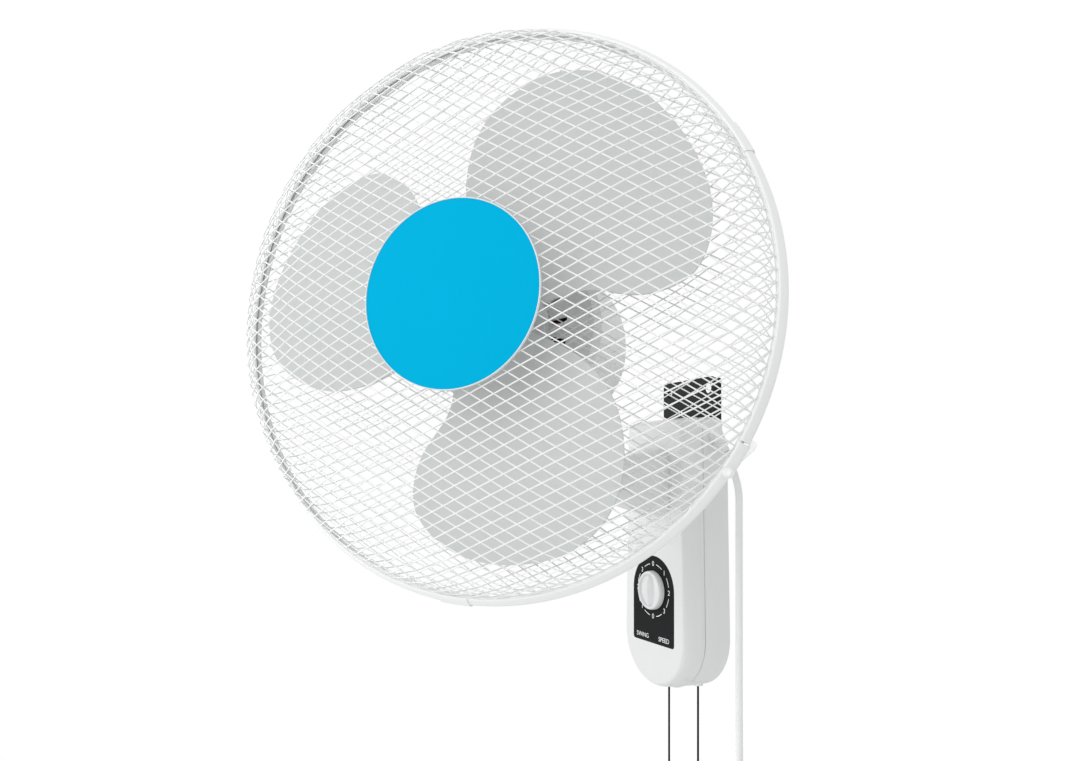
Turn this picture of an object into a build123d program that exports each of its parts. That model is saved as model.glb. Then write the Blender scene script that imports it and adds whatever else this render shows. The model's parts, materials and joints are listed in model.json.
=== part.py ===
from build123d import *
import os
from math import cos, degrees, hypot, pi, radians, sin, sqrt

# Wall mounted oscillating fan with a wire guard, a three-blade rotor, a pull-cord speed switch
# and a pull-cord swing switch. Millimetres, +Z up. The wall is the plane Y = 0, the fan stands
# out of it along -Y, and the origin lies on the wall, midway between the two screw holes.
# At rest the head is swung to +X and tilted a little up.

# ---- shared clearances ------------------------------------------------------------------------
seat_gap = 0.3
running_gap = 0.06
hole_gap = 0.15

# ---- wall bracket, pressed from sheet steel ---------------------------------------------------
bracket_width = 81.0
bracket_standoff = 8.7
bracket_sheet = 1.5
bracket_rise = 11.0
bracket_drop = 120.0
bracket_corner = 5.0
screw_hole_spacing = 62.0
screw_hole_radius = 5.0
window_width = 34.0
window_height = 14.0
window_z = -80.0
hook_width = 24.0
hook_lip = 7.0
hook_thickness = 2.5

# ---- base housing -----------------------------------------------------------------------------
base_width = 106.0
base_top_width = 97.0
base_top_z = -29.0
base_bottom_z = -293.5
base_depth = 51.0
front_cover_depth = 23.0
base_wall = 2.5
front_edge_radius = 7.0
top_corner_radius = 11.0
shadow_line_depth = 1.2
wall_lip_depth = 6.0
recess_wall = 1.6
recess_bottom_z = -124.0
top_slope_y = 13.0
top_slope_z = 24.0
tower_radius = 5.0
cover_screw_radius = 1.5
cover_screw_head_radius = 3.0
cover_screw_head_height = 2.0
cover_screw_seat = 20.0
cover_screw_length = 20.0
cover_screw_points = ((-32.0, -168.0), (32.0, -168.0), (0.0, -272.0))

# ---- control panel, knob and switches ---------------------------------------------------------
dial_z = -197.0
panel_width = 67.0
panel_arch_radius = 33.5
panel_bottom_z = -249.0
panel_corner = 3.0
panel_thickness = 1.0
panel_recess = 0.8
knob_diameter = 38.0
knob_height = 9.0
knob_grip_width = 13.0
knob_rim = 2.2
knob_dish_depth = 4.5
switch_size = 36.0
switch_back = 28.0
bush_radius = 4.5
bush_front = 54.2
bush_nut_width = 12.0
bush_nut_height = 2.2
switch_shaft_radius = 3.0
switch_shaft_length = 17.0
pull_spacing = 46.6
pull_depth = 14.5
plunger_radius = 2.5
plunger_top_z = -188.0
plunger_length = 50.0
guide_width = 16.0
guide_height = 32.0
guide_z = -210.0
swing_switch_depth = 24.0
pull_cord_diameter = 2.0
pull_cord_length = 214.0
eyelet_radius = 4.4
eyelet_bore = 1.6
eyelet_neck_radius = 2.9
eyelet_flange = 1.6
eyelet_length = 9.0
eyelet_seat_z = -289.0
bell_length = 24.0
bell_top_radius = 3.0
bell_bottom_radius = 6.5
terminal_length = 28.0
terminal_height = 14.0
terminal_depth = 13.0
terminal_x = 16.0
terminal_z = -56.0

# ---- supply cord ------------------------------------------------------------------------------
cord_diameter = 6.5
cord_exit_z = -46.0
cord_exit_depth = 16.6
cord_bend_radius = 32.5
grip_length = 26.0
grip_base_radius = 5.5
grip_tip_radius = 4.4
grip_stub = 6.0
cord_stub = 9.0
cord_hang_x = 84.1
coil_centre_z = -388.0
coil_layer_step = 7.1
coil_inward = (-44.0, 40.5, -37.0, 33.5, -29.8)
coil_outward = (26.8, -34.0, 37.5, -41.0, 44.5, -48.0)
tail_length = 66.0
tie_width = 12.0
tie_thickness = 1.2
plug_width = 50.0
plug_height = 48.0
plug_depth = 17.0
plug_corner = 8.0
pin_width = 6.3
pin_thickness = 4.0
pin_length = 17.7
earth_pin_width = 4.0
earth_pin_height = 8.0
earth_pin_length = 22.7
pin_spacing = 22.2
pin_rise = 22.2
pin_root = 6.0

# ---- arm, tilt joint and swing joint ----------------------------------------------------------
arm_root_width = 52.0
arm_root_height = 66.0
arm_root_z = -92.0
arm_middle_depth = 120.0
arm_middle_width = 40.0
arm_middle_height = 34.0
arm_middle_z = -88.0
arm_end_depth = 163.0
arm_end_height = 28.0
arm_corner = 13.0
arm_screw_x = 16.0
arm_screw_z = 22.0
arm_screw_radius = 2.0
arm_screw_head_radius = 4.0
arm_screw_head_height = 2.5
arm_screw_length = 14.0
arm_relief_start = 166.0
arm_relief_end = 157.5
arm_relief_low = -79.5
arm_relief_top = -70.0
tilt_pivot_depth = 180.0
tilt_pivot_z = -85.0
tilt_at_rest = 4.0
swing_at_rest = 42.2
fork_width = 40.0
fork_radius = 15.0
lug_width = 27.4
tilt_bolt_radius = 4.0
tilt_bolt_head_width = 13.0
tilt_bolt_head_height = 4.0
tilt_nut_height = 6.0
stem_start_radius = 11.0
stem_start = 13.0
stem_radius = 17.0
stem_cone_top = 30.0
stem_top = 38.0
post_radius = 7.0
post_top = 56.6
ring_clip_radius = 10.5
ring_clip_thickness = 1.1
ring_clip_height = 54.0
washer_thickness = 1.0
washer_radius = 12.0
motor_axis_height = 114.6

# ---- oscillation drive ------------------------------------------------------------------------
rocker_radius = 7.5
drive_pin_radius = 1.5
stud_length = 3.4
crank_offset = 5.2
crank_distance = 28.0
crank_disc_radius = 7.0
crank_disc_thickness = 2.5
link_thickness = 2.0
link_width = 9.0
link_eye_radius = 3.1
link_eye_offset = 1.25
swing_motor_radius = 18.0
swing_motor_thickness = 9.0
swing_motor_ear = 21.0
swing_motor_post = 3.5
swing_motor_post_z = 20.0
crank_shaft_radius = 2.5
crank_shaft_length = 6.0

# ---- motor ------------------------------------------------------------------------------------
drum_radius = 74.0
drum_wall = 2.5
drum_back = -40.0
drum_back_radius = 30.0
drum_split = 40.0
drum_front = 72.0
drum_front_radius = 5.0
neck_boss_radius = 14.0
neck_boss_low = -75.0
neck_boss_high = -61.0
spigot_radius = 26.0
spigot_bore = 21.0
spigot_front = 84.0
bearing_boss_radius = 12.0
bearing_radius = 8.0
bearing_length = 10.0
shaft_radius = 4.0
shaft_back = 10.0
shaft_front = 160.0
stator_width = 76.0
stator_back = 38.0
stator_front = 58.0
stator_bore = 23.3
stator_slots = 8
slot_inner_radius = 25.5
slot_outer_radius = 34.0
slot_width = 10.0
stator_screw_spacing = 62.0
stator_screw_radius = 2.0
stator_screw_head_radius = 3.8
stator_screw_head_height = 2.5
stator_post_radius = 5.0
winding_inner_radius = 25.0
winding_outer_radius = 36.0
winding_length = 8.0
rotor_core_radius = 22.8
shield_back = 22.0
shield_thickness = 3.0
shield_boss_radius = 12.0
vent_count = 16
vent_inner_radius = 34.0
vent_outer_radius = 47.0
vent_width = 4.0
back_vent_width = 3.0
back_vent_pitch = 8.0
back_vent_radius = 36.0
shell_screw_circle = 64.0
shell_screw_radius = 1.8
shell_screw_head_radius = 3.4
shell_screw_head_height = 2.2
shell_boss_radius = 5.5
shell_screw_seat = 10.0
shell_screw_length = 44.0

# ---- rotor ------------------------------------------------------------------------------------
blade_outline = (
    (46.0, -45.0),
    (63.0, -63.0),
    (74.0, -84.0),
    (90.0, -101.0),
    (112.0, -110.5),
    (136.0, -105.0),
    (160.0, -87.0),
    (180.0, -54.0),
    (190.0, -12.0),
    (185.0, 24.0),
    (164.0, 54.0),
    (138.0, 68.0),
    (110.0, 73.0),
    (82.0, 67.0),
    (58.0, 53.0),
)
blade_root = ((18.0, 20.0), (18.0, -20.0))
blade_count = 3
blade_phase = 55.0
blade_thickness = 2.2
blade_leading_z = 120.0
blade_middle_z = 133.0
blade_trailing_z = 157.0
blade_leading_y = -112.0
blade_trailing_y = 80.0
hub_radius = 24.0
hub_back = 97.0
hub_front = 147.0
hub_wall = 3.0
hub_core_radius = 9.0
hub_pin_z = 100.5
hub_pin_radius = 1.5
hub_pin_length = 22.0
spinner_radius = 17.0
spinner_front = 165.0

# ---- guard ------------------------------------------------------------------------------------
ring_radius = 220.0
ring_front_radius = 213.0
ring_back = 121.5
ring_front = 136.5
ring_wall = 1.8
ring_lip = 1.5
ring_back_lip_radius = 209.0
ring_front_lip_radius = 209.0
ring_seam_angle = -25.0
ring_seam_gap = 2.0
net_thickness = 1.6
net_long = 100.0
net_short = 54.0
net_rib = 2.8
net_sides = 24
net_open_radius = 199.0
rim_depth = 5.2
rim_width = 6.0
back_rim_radius = 211.0
front_rim_radius = 207.4
back_net = ((29.0, 74.5), (140.0, 83.5), (182.0, 98.0), (205.0, 112.0), (209.0, 126.0))
front_net = ((60.0, 182.6), (140.0, 176.3), (186.0, 163.3), (205.6, 149.0), (208.6, 137.5), (208.6, 131.0))
collar_radius = 31.5
collar_thickness = 5.0
collar_nut_radius = 33.5
collar_nut_thickness = 6.0
collar_nut_notches = 6
badge_diameter = 131.0
badge_front = 186.5
badge_thickness = 3.2
badge_edge_radius = 1.0
badge_ring_inner = 52.0
badge_ring_outer = 63.0
badge_ring_thickness = 2.8
badge_skirt_wall = 3.0
badge_skirt_depth = 7.5
retainer_radius = 60.0
retainer_thickness = 2.8
clip_angles = (29.0, 138.0, 268.0)
clip_arc = 5.0
clip_thickness = 2.0
clamp_start = -33.6
clamp_end = -22.0
clamp_plate_start = -29.2
clamp_screw_angle = -31.0
clamp_screw_circle = 220.8
clamp_screw_radius = 1.5
clamp_screw_head_radius = 3.6
clamp_screw_head_height = 2.2
clamp_lug_radius = 226.0
clamp_lug_width = 8.0
clamp_lug_back = 123.5
clamp_lug_front = 132.6
clamp_tab_thickness = 2.0

# ---- worked out from the dimensions -----------------------------------------------------------
parting_depth = base_depth - front_cover_depth
front_inner = base_depth - base_wall
recess_depth = bracket_standoff + seat_gap
recess_half = bracket_width / 2 + seat_gap
skin_depth = recess_depth + recess_wall
panel_front = base_depth - panel_recess + panel_thickness
pull_x = pull_spacing / 2
half = base_width / 2
base_centre_z = base_bottom_z + half
rear_inset = shadow_line_depth
tilt_pivot = (0, -tilt_pivot_depth, tilt_pivot_z)
neck = Plane(
    origin=tilt_pivot,
    x_dir=(1, 0, 0),
    z_dir=(0, sin(radians(tilt_at_rest)), cos(radians(tilt_at_rest))),
)
swing = Plane(neck.location * Rot(0, 0, swing_at_rest))
head = Plane(swing.offset(motor_axis_height).location * Rot(90, 0, 0))
head_axis = Axis(head.origin, head.z_dir)


def front(depth):
    """A plane parallel to the wall, this far in front of it, X to the right and Z up."""
    return Plane.XZ.offset(depth)


def radial(angle):
    """A plane through the motor axis: X is the radius at this angle, Y runs forward."""
    turned = Plane(head.location * Rot(0, 0, angle))
    return Plane(origin=turned.origin, x_dir=turned.x_dir, z_dir=-turned.y_dir)


def tongue(depth, inset):
    """Front view of the base: tapered sides, rounded top corners and a half-round bottom."""
    top_half = base_top_width / 2
    shoulder = base_top_z - top_corner_radius
    with BuildSketch(front(depth)) as outline:
        with BuildLine():
            bottom = CenterArc((0, base_centre_z), half, 180, 180)
            right = Line(bottom @ 1, (top_half, shoulder))
            right_corner = TangentArc(
                right @ 1, (top_half - top_corner_radius, base_top_z), tangent=right % 1
            )
            top = Line(right_corner @ 1, (-top_half + top_corner_radius, base_top_z))
            left_corner = TangentArc(top @ 1, (-top_half, shoulder), tangent=top % 1)
            Line(left_corner @ 1, bottom @ 0)
        make_face()
        if inset:
            offset(amount=-inset)
    return outline.sketch


def arch(depth, grow):
    """Outline of the control panel: an arch about the dial over a square foot."""
    width = panel_width + 2 * grow
    with BuildSketch(front(depth)) as outline:
        with Locations((0, dial_z)):
            Circle(panel_arch_radius + grow)
        with Locations((0, (dial_z + panel_bottom_z) / 2)):
            RectangleRounded(width, dial_z - panel_bottom_z + 2 * grow, panel_corner)
    return outline.sketch


def small_round(radius):
    """Section of a hidden screw, screw hole or boss: eight-sided, to keep its faces few."""
    return RegularPolygon(radius, 8)


def save(piece, name):
    """Names one finished piece and writes it."""
    piece.part.label = name
    export_step(piece.part, f"parts/{name}.step")


os.makedirs("parts", exist_ok=True)

# ---- wall bracket -----------------------------------------------------------------------------
bracket_length = bracket_rise + bracket_drop
with BuildPart() as wall_bracket:
    with BuildSketch(front(bracket_standoff)):
        with Locations((0, (bracket_rise - bracket_drop) / 2)):
            RectangleRounded(bracket_width, bracket_length, bracket_corner)
    extrude(amount=-bracket_standoff)
    with BuildSketch(front(bracket_standoff - bracket_sheet)):
        with Locations((0, (bracket_rise - bracket_drop) / 2)):
            Rectangle(bracket_width - 2 * bracket_sheet, bracket_length + 10)
    extrude(amount=-bracket_standoff, mode=Mode.SUBTRACT)
    with BuildSketch(front(bracket_standoff)):
        with Locations((-screw_hole_spacing / 2, 0), (screw_hole_spacing / 2, 0)):
            Circle(screw_hole_radius)
        with Locations((0, window_z)):
            Rectangle(window_width, window_height)
    extrude(amount=-bracket_standoff, mode=Mode.SUBTRACT)
save(wall_bracket, "wall_bracket")

# ---- rear half of the base --------------------------------------------------------------------
with BuildPart() as cavity:
    extrude(tongue(base_wall, rear_inset + base_wall), amount=parting_depth)
    with BuildSketch(front(0)):
        with Locations((0, recess_bottom_z - recess_wall)):
            Rectangle(2 * (recess_half + recess_wall), 200, align=(Align.CENTER, Align.MIN))
    extrude(amount=skin_depth, mode=Mode.SUBTRACT)
    with BuildSketch(Plane.YZ.offset(-base_width)):
        Polygon(
            (-top_slope_y - 2 * base_wall, base_top_z + 5),
            (-top_slope_y - base_wall, base_top_z - 1.2),
            (0, base_top_z - top_slope_z - 2 * base_wall),
            (5, base_top_z + 5),
            align=None,
        )
    extrude(amount=2 * base_width, mode=Mode.SUBTRACT)

with BuildPart() as base_rear_cover:
    extrude(tongue(0, 0), amount=wall_lip_depth)
    extrude(tongue(0, rear_inset), amount=parting_depth)
    with BuildSketch(Plane.YZ.offset(-base_width)):
        Polygon(
            (-top_slope_y, base_top_z + 5),
            (-top_slope_y, base_top_z),
            (0, base_top_z - top_slope_z),
            (5, base_top_z + 5),
            align=None,
        )
    extrude(amount=2 * base_width, mode=Mode.SUBTRACT)
    add(cavity.part, mode=Mode.SUBTRACT)
    with BuildSketch(front(0)):
        with Locations((0, recess_bottom_z)):
            Rectangle(2 * recess_half, 200, align=(Align.CENTER, Align.MIN))
    extrude(amount=recess_depth, mode=Mode.SUBTRACT)
    # hook that hangs the base on the lower edge of the bracket window
    hook_foot = window_z - window_height / 2 + seat_gap
    with BuildSketch(front(recess_depth)):
        with Locations((0, hook_foot)):
            Rectangle(hook_width, 2 * hook_thickness, align=(Align.CENTER, Align.MIN))
    extrude(amount=-(bracket_sheet + 2 * seat_gap + hook_thickness))
    with BuildSketch(front(bracket_standoff - bracket_sheet - seat_gap)):
        with Locations((0, hook_foot - hook_lip)):
            Rectangle(hook_width, hook_lip + hook_thickness, align=(Align.CENTER, Align.MIN))
    extrude(amount=-hook_thickness)
    # screw towers, open at the back for the heads
    with BuildSketch(front(base_wall / 2)):
        with Locations(*cover_screw_points):
            small_round(tower_radius)
    extrude(amount=cover_screw_seat + 2.5 - base_wall / 2)
    with BuildSketch(front(0)):
        with Locations(*cover_screw_points):
            small_round(cover_screw_head_radius + seat_gap)
    extrude(amount=cover_screw_seat, mode=Mode.SUBTRACT)
    with BuildSketch(front(0)):
        with Locations(*cover_screw_points):
            small_round(cover_screw_radius + hole_gap)
    extrude(amount=parting_depth, mode=Mode.SUBTRACT)
    # flat seats for the two cord eyelets
    with BuildSketch(Plane.XY.offset(eyelet_seat_z)):
        with Locations((-pull_x, -pull_depth), (pull_x, -pull_depth)):
            RegularPolygon(eyelet_radius + 0.6, 12)
    extrude(amount=6.0)
    with BuildSketch(Plane.XY.offset(base_bottom_z)):
        with Locations((-pull_x, -pull_depth), (pull_x, -pull_depth)):
            RegularPolygon(eyelet_neck_radius + hole_gap, 12)
    extrude(amount=25.0, mode=Mode.SUBTRACT)
    # hole of the supply cord grip
    exit_plane = Plane(
        origin=(base_top_width / 2 + 0.4, -cord_exit_depth, cord_exit_z),
        x_dir=(0, 1, 0),
        z_dir=(1, 0, -1),
    )
    with BuildSketch(exit_plane.offset(-cord_stub - 2)):
        Circle(grip_base_radius + hole_gap)
    extrude(amount=2 * cord_stub + 4, mode=Mode.SUBTRACT)
save(base_rear_cover, "base_rear_cover")

# ---- front half of the base -------------------------------------------------------------------
with BuildPart() as shell_core:
    extrude(tongue(parting_depth, base_wall), amount=front_cover_depth - base_wall)
    chamfer(shell_core.faces().sort_by(Axis.Y)[0].edges(), length=(front_edge_radius - base_wall) / 2)

with BuildPart() as base_front_cover:
    extrude(tongue(parting_depth, 0), amount=front_cover_depth)
    fillet(base_front_cover.faces().sort_by(Axis.Y)[0].edges(), radius=front_edge_radius)
    add(shell_core.part, mode=Mode.SUBTRACT)
    extrude(arch(base_depth, hole_gap), amount=-panel_recess, mode=Mode.SUBTRACT)
    with BuildSketch(front(cover_screw_seat + 2.5 + seat_gap)):
        with Locations(*cover_screw_points):
            small_round(tower_radius)
    extrude(amount=front_inner - cover_screw_seat - 2.5)
    with BuildSketch(front(cover_screw_seat)):
        with Locations(*cover_screw_points):
            small_round(cover_screw_radius + hole_gap)
    extrude(amount=cover_screw_length + 1, mode=Mode.SUBTRACT)
    with BuildSketch(front(front_inner - 5)):
        with Locations((0, dial_z)):
            Circle(bush_radius + hole_gap)
    extrude(amount=10, mode=Mode.SUBTRACT)
    with BuildSketch(front(front_inner - 5)):
        with Locations((0, arm_root_z)):
            with GridLocations(2 * arm_screw_x, 2 * arm_screw_z, 2, 2):
                small_round(arm_screw_radius + hole_gap)
    extrude(amount=10, mode=Mode.SUBTRACT)
save(base_front_cover, "base_front_cover")

with BuildPart() as cover_screws:
    with BuildSketch(front(cover_screw_seat - seat_gap)):
        with Locations(*cover_screw_points):
            small_round(cover_screw_head_radius)
    extrude(amount=-cover_screw_head_height)
    with BuildSketch(front(cover_screw_seat - seat_gap)):
        with Locations(*cover_screw_points):
            small_round(cover_screw_radius)
    extrude(amount=cover_screw_length)
save(cover_screws, "cover_screws")

# ---- control panel and speed switch -----------------------------------------------------------
with BuildPart() as control_panel:
    extrude(arch(base_depth - panel_recess, 0), amount=panel_thickness)
    with BuildSketch(front(panel_front)):
        with Locations((0, dial_z)):
            Circle(bush_radius + hole_gap)
    extrude(amount=-5, mode=Mode.SUBTRACT)
save(control_panel, "control_panel")

guide_front = switch_back + 2
with BuildPart() as speed_switch:
    with BuildSketch(front(switch_back)):
        with Locations((0, dial_z)):
            Rectangle(switch_size, switch_size)
    extrude(amount=front_inner - seat_gap - switch_back)
    with BuildSketch(front(base_wall + seat_gap)):
        with Locations((pull_x, guide_z)):
            Rectangle(guide_width, guide_height)
    extrude(amount=guide_front - base_wall - seat_gap)
    with BuildSketch(front(front_inner - seat_gap - 1)):
        with Locations((0, dial_z)):
            Circle(bush_radius)
    extrude(amount=bush_front - front_inner + seat_gap + 1)
    with BuildSketch(front(bush_front)):
        with Locations((0, dial_z)):
            Circle(switch_shaft_radius + running_gap)
    extrude(amount=-(switch_shaft_length - 3), mode=Mode.SUBTRACT)
    with BuildSketch(Plane.XY.offset(guide_z - guide_height)):
        with Locations((pull_x, -pull_depth)):
            Circle(plunger_radius + running_gap)
    extrude(amount=2 * guide_height, mode=Mode.SUBTRACT)
save(speed_switch, "speed_switch")

with BuildPart() as switch_nut:
    with BuildSketch(front(panel_front + seat_gap)):
        with Locations((0, dial_z)):
            RegularPolygon(bush_nut_width / 2, 6, major_radius=False)
            Circle(bush_radius + running_gap, mode=Mode.SUBTRACT)
    extrude(amount=bush_nut_height)
save(switch_nut, "switch_nut")

knob_back = panel_front + 0.4
with BuildPart() as speed_knob:
    with BuildSketch(front(knob_back)):
        with Locations((0, dial_z)):
            Circle(knob_diameter / 2)
    extrude(amount=knob_height, taper=3)
    with BuildSketch(front(knob_back + knob_height)):
        with Locations((0, dial_z)):
            Circle(knob_diameter / 2 - knob_rim)
            Rectangle(knob_grip_width, knob_diameter, mode=Mode.SUBTRACT)
    extrude(amount=-knob_dish_depth, mode=Mode.SUBTRACT)
    with BuildSketch(front(knob_back)):
        with Locations((0, dial_z)):
            Circle(bush_nut_width / 2 + 1.6)
    extrude(amount=bush_front - knob_back + seat_gap, mode=Mode.SUBTRACT)
    with BuildSketch(front(knob_back)):
        with Locations((0, dial_z)):
            Circle(switch_shaft_radius + running_gap / 2)
    extrude(amount=knob_height - 2, mode=Mode.SUBTRACT)
save(speed_knob, "speed_knob")

with BuildPart() as switch_shaft:
    with BuildSketch(front(knob_back + knob_height - 2)):
        with Locations((0, dial_z)):
            Circle(switch_shaft_radius)
    extrude(amount=-switch_shaft_length)
save(switch_shaft, "switch_shaft")

# ---- swing switch, pull cords and eyelets -----------------------------------------------------
with BuildPart() as swing_switch:
    with BuildSketch(front(base_wall + seat_gap)):
        with Locations((-pull_x, guide_z)):
            Rectangle(guide_width, guide_height)
    extrude(amount=swing_switch_depth)
    with BuildSketch(Plane.XY.offset(guide_z - guide_height)):
        with Locations((-pull_x, -pull_depth)):
            Circle(plunger_radius + running_gap)
    extrude(amount=2 * guide_height, mode=Mode.SUBTRACT)
save(swing_switch, "swing_switch")

plunger_foot = plunger_top_z - plunger_length
cord_foot = plunger_foot - pull_cord_length
for side_x, side_name in ((-pull_x, "swing"), (pull_x, "speed")):
    with BuildPart() as plunger:
        with BuildSketch(Plane.XY.offset(plunger_top_z)):
            with Locations((side_x, -pull_depth)):
                Circle(plunger_radius)
        extrude(amount=-plunger_length)
    save(plunger, f"{side_name}_pull_plunger")
    with BuildPart() as pull_cord:
        with BuildSketch(Plane.XY.offset(plunger_foot)):
            with Locations((side_x, -pull_depth)):
                Circle(pull_cord_diameter / 2)
        extrude(amount=-pull_cord_length)
    save(pull_cord, f"{side_name}_pull_cord")
    with BuildPart() as bell:
        with BuildSketch(Plane.XZ.offset(pull_depth)):
            Polygon(
                (side_x, cord_foot),
                (side_x + bell_top_radius, cord_foot),
                (side_x + bell_bottom_radius, cord_foot - bell_length),
                (side_x, cord_foot - bell_length),
                align=None,
            )
        revolve(axis=Axis((side_x, -pull_depth, 0), (0, 0, 1)))
    save(bell, f"{side_name}_pull_bell")

with BuildPart() as cord_eyelets:
    with BuildSketch(Plane.XY.offset(eyelet_seat_z - seat_gap)):
        with Locations((-pull_x, -pull_depth), (pull_x, -pull_depth)):
            RegularPolygon(eyelet_radius, 12)
    extrude(amount=-eyelet_flange)
    with BuildSketch(Plane.XY.offset(eyelet_seat_z - seat_gap)):
        with Locations((-pull_x, -pull_depth), (pull_x, -pull_depth)):
            RegularPolygon(eyelet_neck_radius, 12)
    extrude(amount=eyelet_length)
    with BuildSketch(Plane.XY.offset(eyelet_seat_z + eyelet_length)):
        with Locations((-pull_x, -pull_depth), (pull_x, -pull_depth)):
            RegularPolygon(eyelet_bore, 12)
    extrude(amount=-2 * eyelet_length, mode=Mode.SUBTRACT)
save(cord_eyelets, "cord_eyelets")

with BuildPart() as terminal_block:
    with BuildSketch(front(skin_depth + seat_gap)):
        with Locations((terminal_x, terminal_z)):
            Rectangle(terminal_length, terminal_height)
    extrude(amount=terminal_depth)
    with BuildSketch(front(skin_depth + seat_gap + terminal_depth)):
        with Locations((terminal_x, terminal_z)):
            with GridLocations(terminal_length / 3, 1, 3, 1):
                small_round(2.5)
    extrude(amount=-4, mode=Mode.SUBTRACT)
save(terminal_block, "terminal_block")

# ---- supply cord, wound tail and plug ---------------------------------------------------------
down_right = exit_plane.z_dir
exit_x = exit_plane.origin.X
cord_y = -cord_exit_depth
with BuildPart() as cord_grip:
    with BuildSketch(Plane(origin=exit_plane.origin, x_dir=down_right, z_dir=(0, -1, 0))):
        with BuildLine():
            Polyline(
                (-grip_stub, cord_diameter / 2 + hole_gap),
                (-grip_stub, grip_base_radius),
                (4, grip_base_radius),
                (grip_length, grip_tip_radius),
                (grip_length, cord_diameter / 2 + hole_gap),
                close=True,
            )
        make_face()
    revolve(axis=Axis(exit_plane.origin, down_right))
save(cord_grip, "cord_grip")

cord_start = exit_plane.origin - down_right * cord_stub
corner_z = cord_exit_z - (cord_hang_x - exit_x)
with BuildLine() as hang_path:
    FilletPolyline(
        (cord_start.X, cord_y, cord_start.Z),
        (cord_hang_x, cord_y, corner_z),
        (cord_hang_x, cord_y, coil_centre_z),
        radius=cord_bend_radius,
    )
with BuildPart() as power_cord:
    with BuildSketch(exit_plane.offset(-cord_stub)):
        Circle(cord_diameter / 2)
    sweep(path=hang_path.line)
save(power_cord, "power_cord")

coil_x = cord_hang_x - coil_inward[0]
front_layer_y = cord_y - coil_layer_step

coil_ends = [(offset_x, cord_y) for offset_x in coil_inward]
coil_ends += [(offset_x, front_layer_y) for offset_x in coil_outward]
coil_arcs = []
for number, (start, finish) in enumerate(zip(coil_ends, coil_ends[1:])):
    way = -1 if number % 2 == 0 else 1
    span = hypot(finish[0] - start[0], finish[1] - start[1]) / 2
    middle = ((start[0] + finish[0]) / 2, (start[1] + finish[1]) / 2)
    coil_arcs.append(
        (
            (coil_x + start[0], start[1], coil_centre_z),
            (coil_x + middle[0], middle[1], coil_centre_z + way * span),
            (coil_x + finish[0], finish[1], coil_centre_z),
        )
    )
with BuildLine() as coil_path:
    half_turns = [ThreePointArc(*points) for points in coil_arcs]
with BuildPart() as power_cord_coil:
    with BuildSketch(Plane(origin=coil_arcs[0][0], x_dir=(1, 0, 0), z_dir=(0, 0, -1))):
        RegularPolygon(cord_diameter / 2, 6)
    sweep(path=coil_path.line)
save(power_cord_coil, "power_cord_coil")

tail_x = coil_x + coil_outward[-1]
with BuildPart() as power_cord_tail:
    with BuildSketch(Plane.XY.offset(coil_centre_z)):
        with Locations((tail_x, front_layer_y)):
            Circle(cord_diameter / 2)
    extrude(amount=-tail_length)
save(power_cord_tail, "power_cord_tail")

tie_left = min(coil_inward + coil_outward) - cord_diameter / 2 - seat_gap
tie_right = coil_inward[-1] + cord_diameter / 2 + 0.9
tie_back = cord_y + cord_diameter / 2 + seat_gap
tie_front = front_layer_y - cord_diameter / 2 - seat_gap
with BuildPart() as coil_tie:
    with BuildSketch(Plane.XY.offset(coil_centre_z - tie_width / 2)):
        with Locations((coil_x + (tie_left + tie_right) / 2, (tie_back + tie_front) / 2)):
            Rectangle(tie_right - tie_left + 2 * tie_thickness, tie_back - tie_front + 2 * tie_thickness)
            Rectangle(tie_right - tie_left, tie_back - tie_front, mode=Mode.SUBTRACT)
    extrude(amount=tie_width)
save(coil_tie, "coil_tie")

plug_top_z = coil_centre_z - tail_length + 12
plug_centre_z = plug_top_z - 10 - plug_height / 2
plug_back_y = front_layer_y + plug_depth / 2
plug_face_y = front_layer_y - plug_depth / 2
live_z = plug_centre_z + pin_rise / 2 - 4
with BuildPart() as plug_body:
    with BuildSketch(front(-plug_back_y)):
        with Locations((tail_x, plug_centre_z)):
            RectangleRounded(plug_width, plug_height, plug_corner)
    extrude(amount=plug_depth)
    chamfer(plug_body.faces().sort_by(Axis.Y)[-1].edges(), length=2.5)
    with BuildSketch(Plane.XY.offset(plug_centre_z + plug_height / 2 - 1)):
        with Locations((tail_x, front_layer_y)):
            Circle(6.5)
    extrude(amount=11, taper=8)
    with BuildSketch(Plane.XY.offset(coil_centre_z - tail_length)):
        with Locations((tail_x, front_layer_y)):
            Circle(cord_diameter / 2 + running_gap)
    extrude(amount=30, mode=Mode.SUBTRACT)
    with BuildSketch(front(-plug_face_y)):
        with Locations((tail_x - pin_spacing / 2, live_z), (tail_x + pin_spacing / 2, live_z)):
            Rectangle(pin_width, pin_thickness)
        with Locations((tail_x, live_z - pin_rise)):
            Rectangle(earth_pin_width, earth_pin_height)
    extrude(amount=-pin_root, mode=Mode.SUBTRACT)
save(plug_body, "plug_body")

with BuildPart() as plug_pins:
    with BuildSketch(front(-plug_face_y - pin_root)):
        with Locations((tail_x - pin_spacing / 2, live_z), (tail_x + pin_spacing / 2, live_z)):
            Rectangle(pin_width, pin_thickness)
    extrude(amount=pin_root + pin_length)
    with BuildSketch(front(-plug_face_y - pin_root)):
        with Locations((tail_x, live_z - pin_rise)):
            Rectangle(earth_pin_width, earth_pin_height)
    extrude(amount=pin_root + earth_pin_length)
save(plug_pins, "plug_pins")

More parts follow.
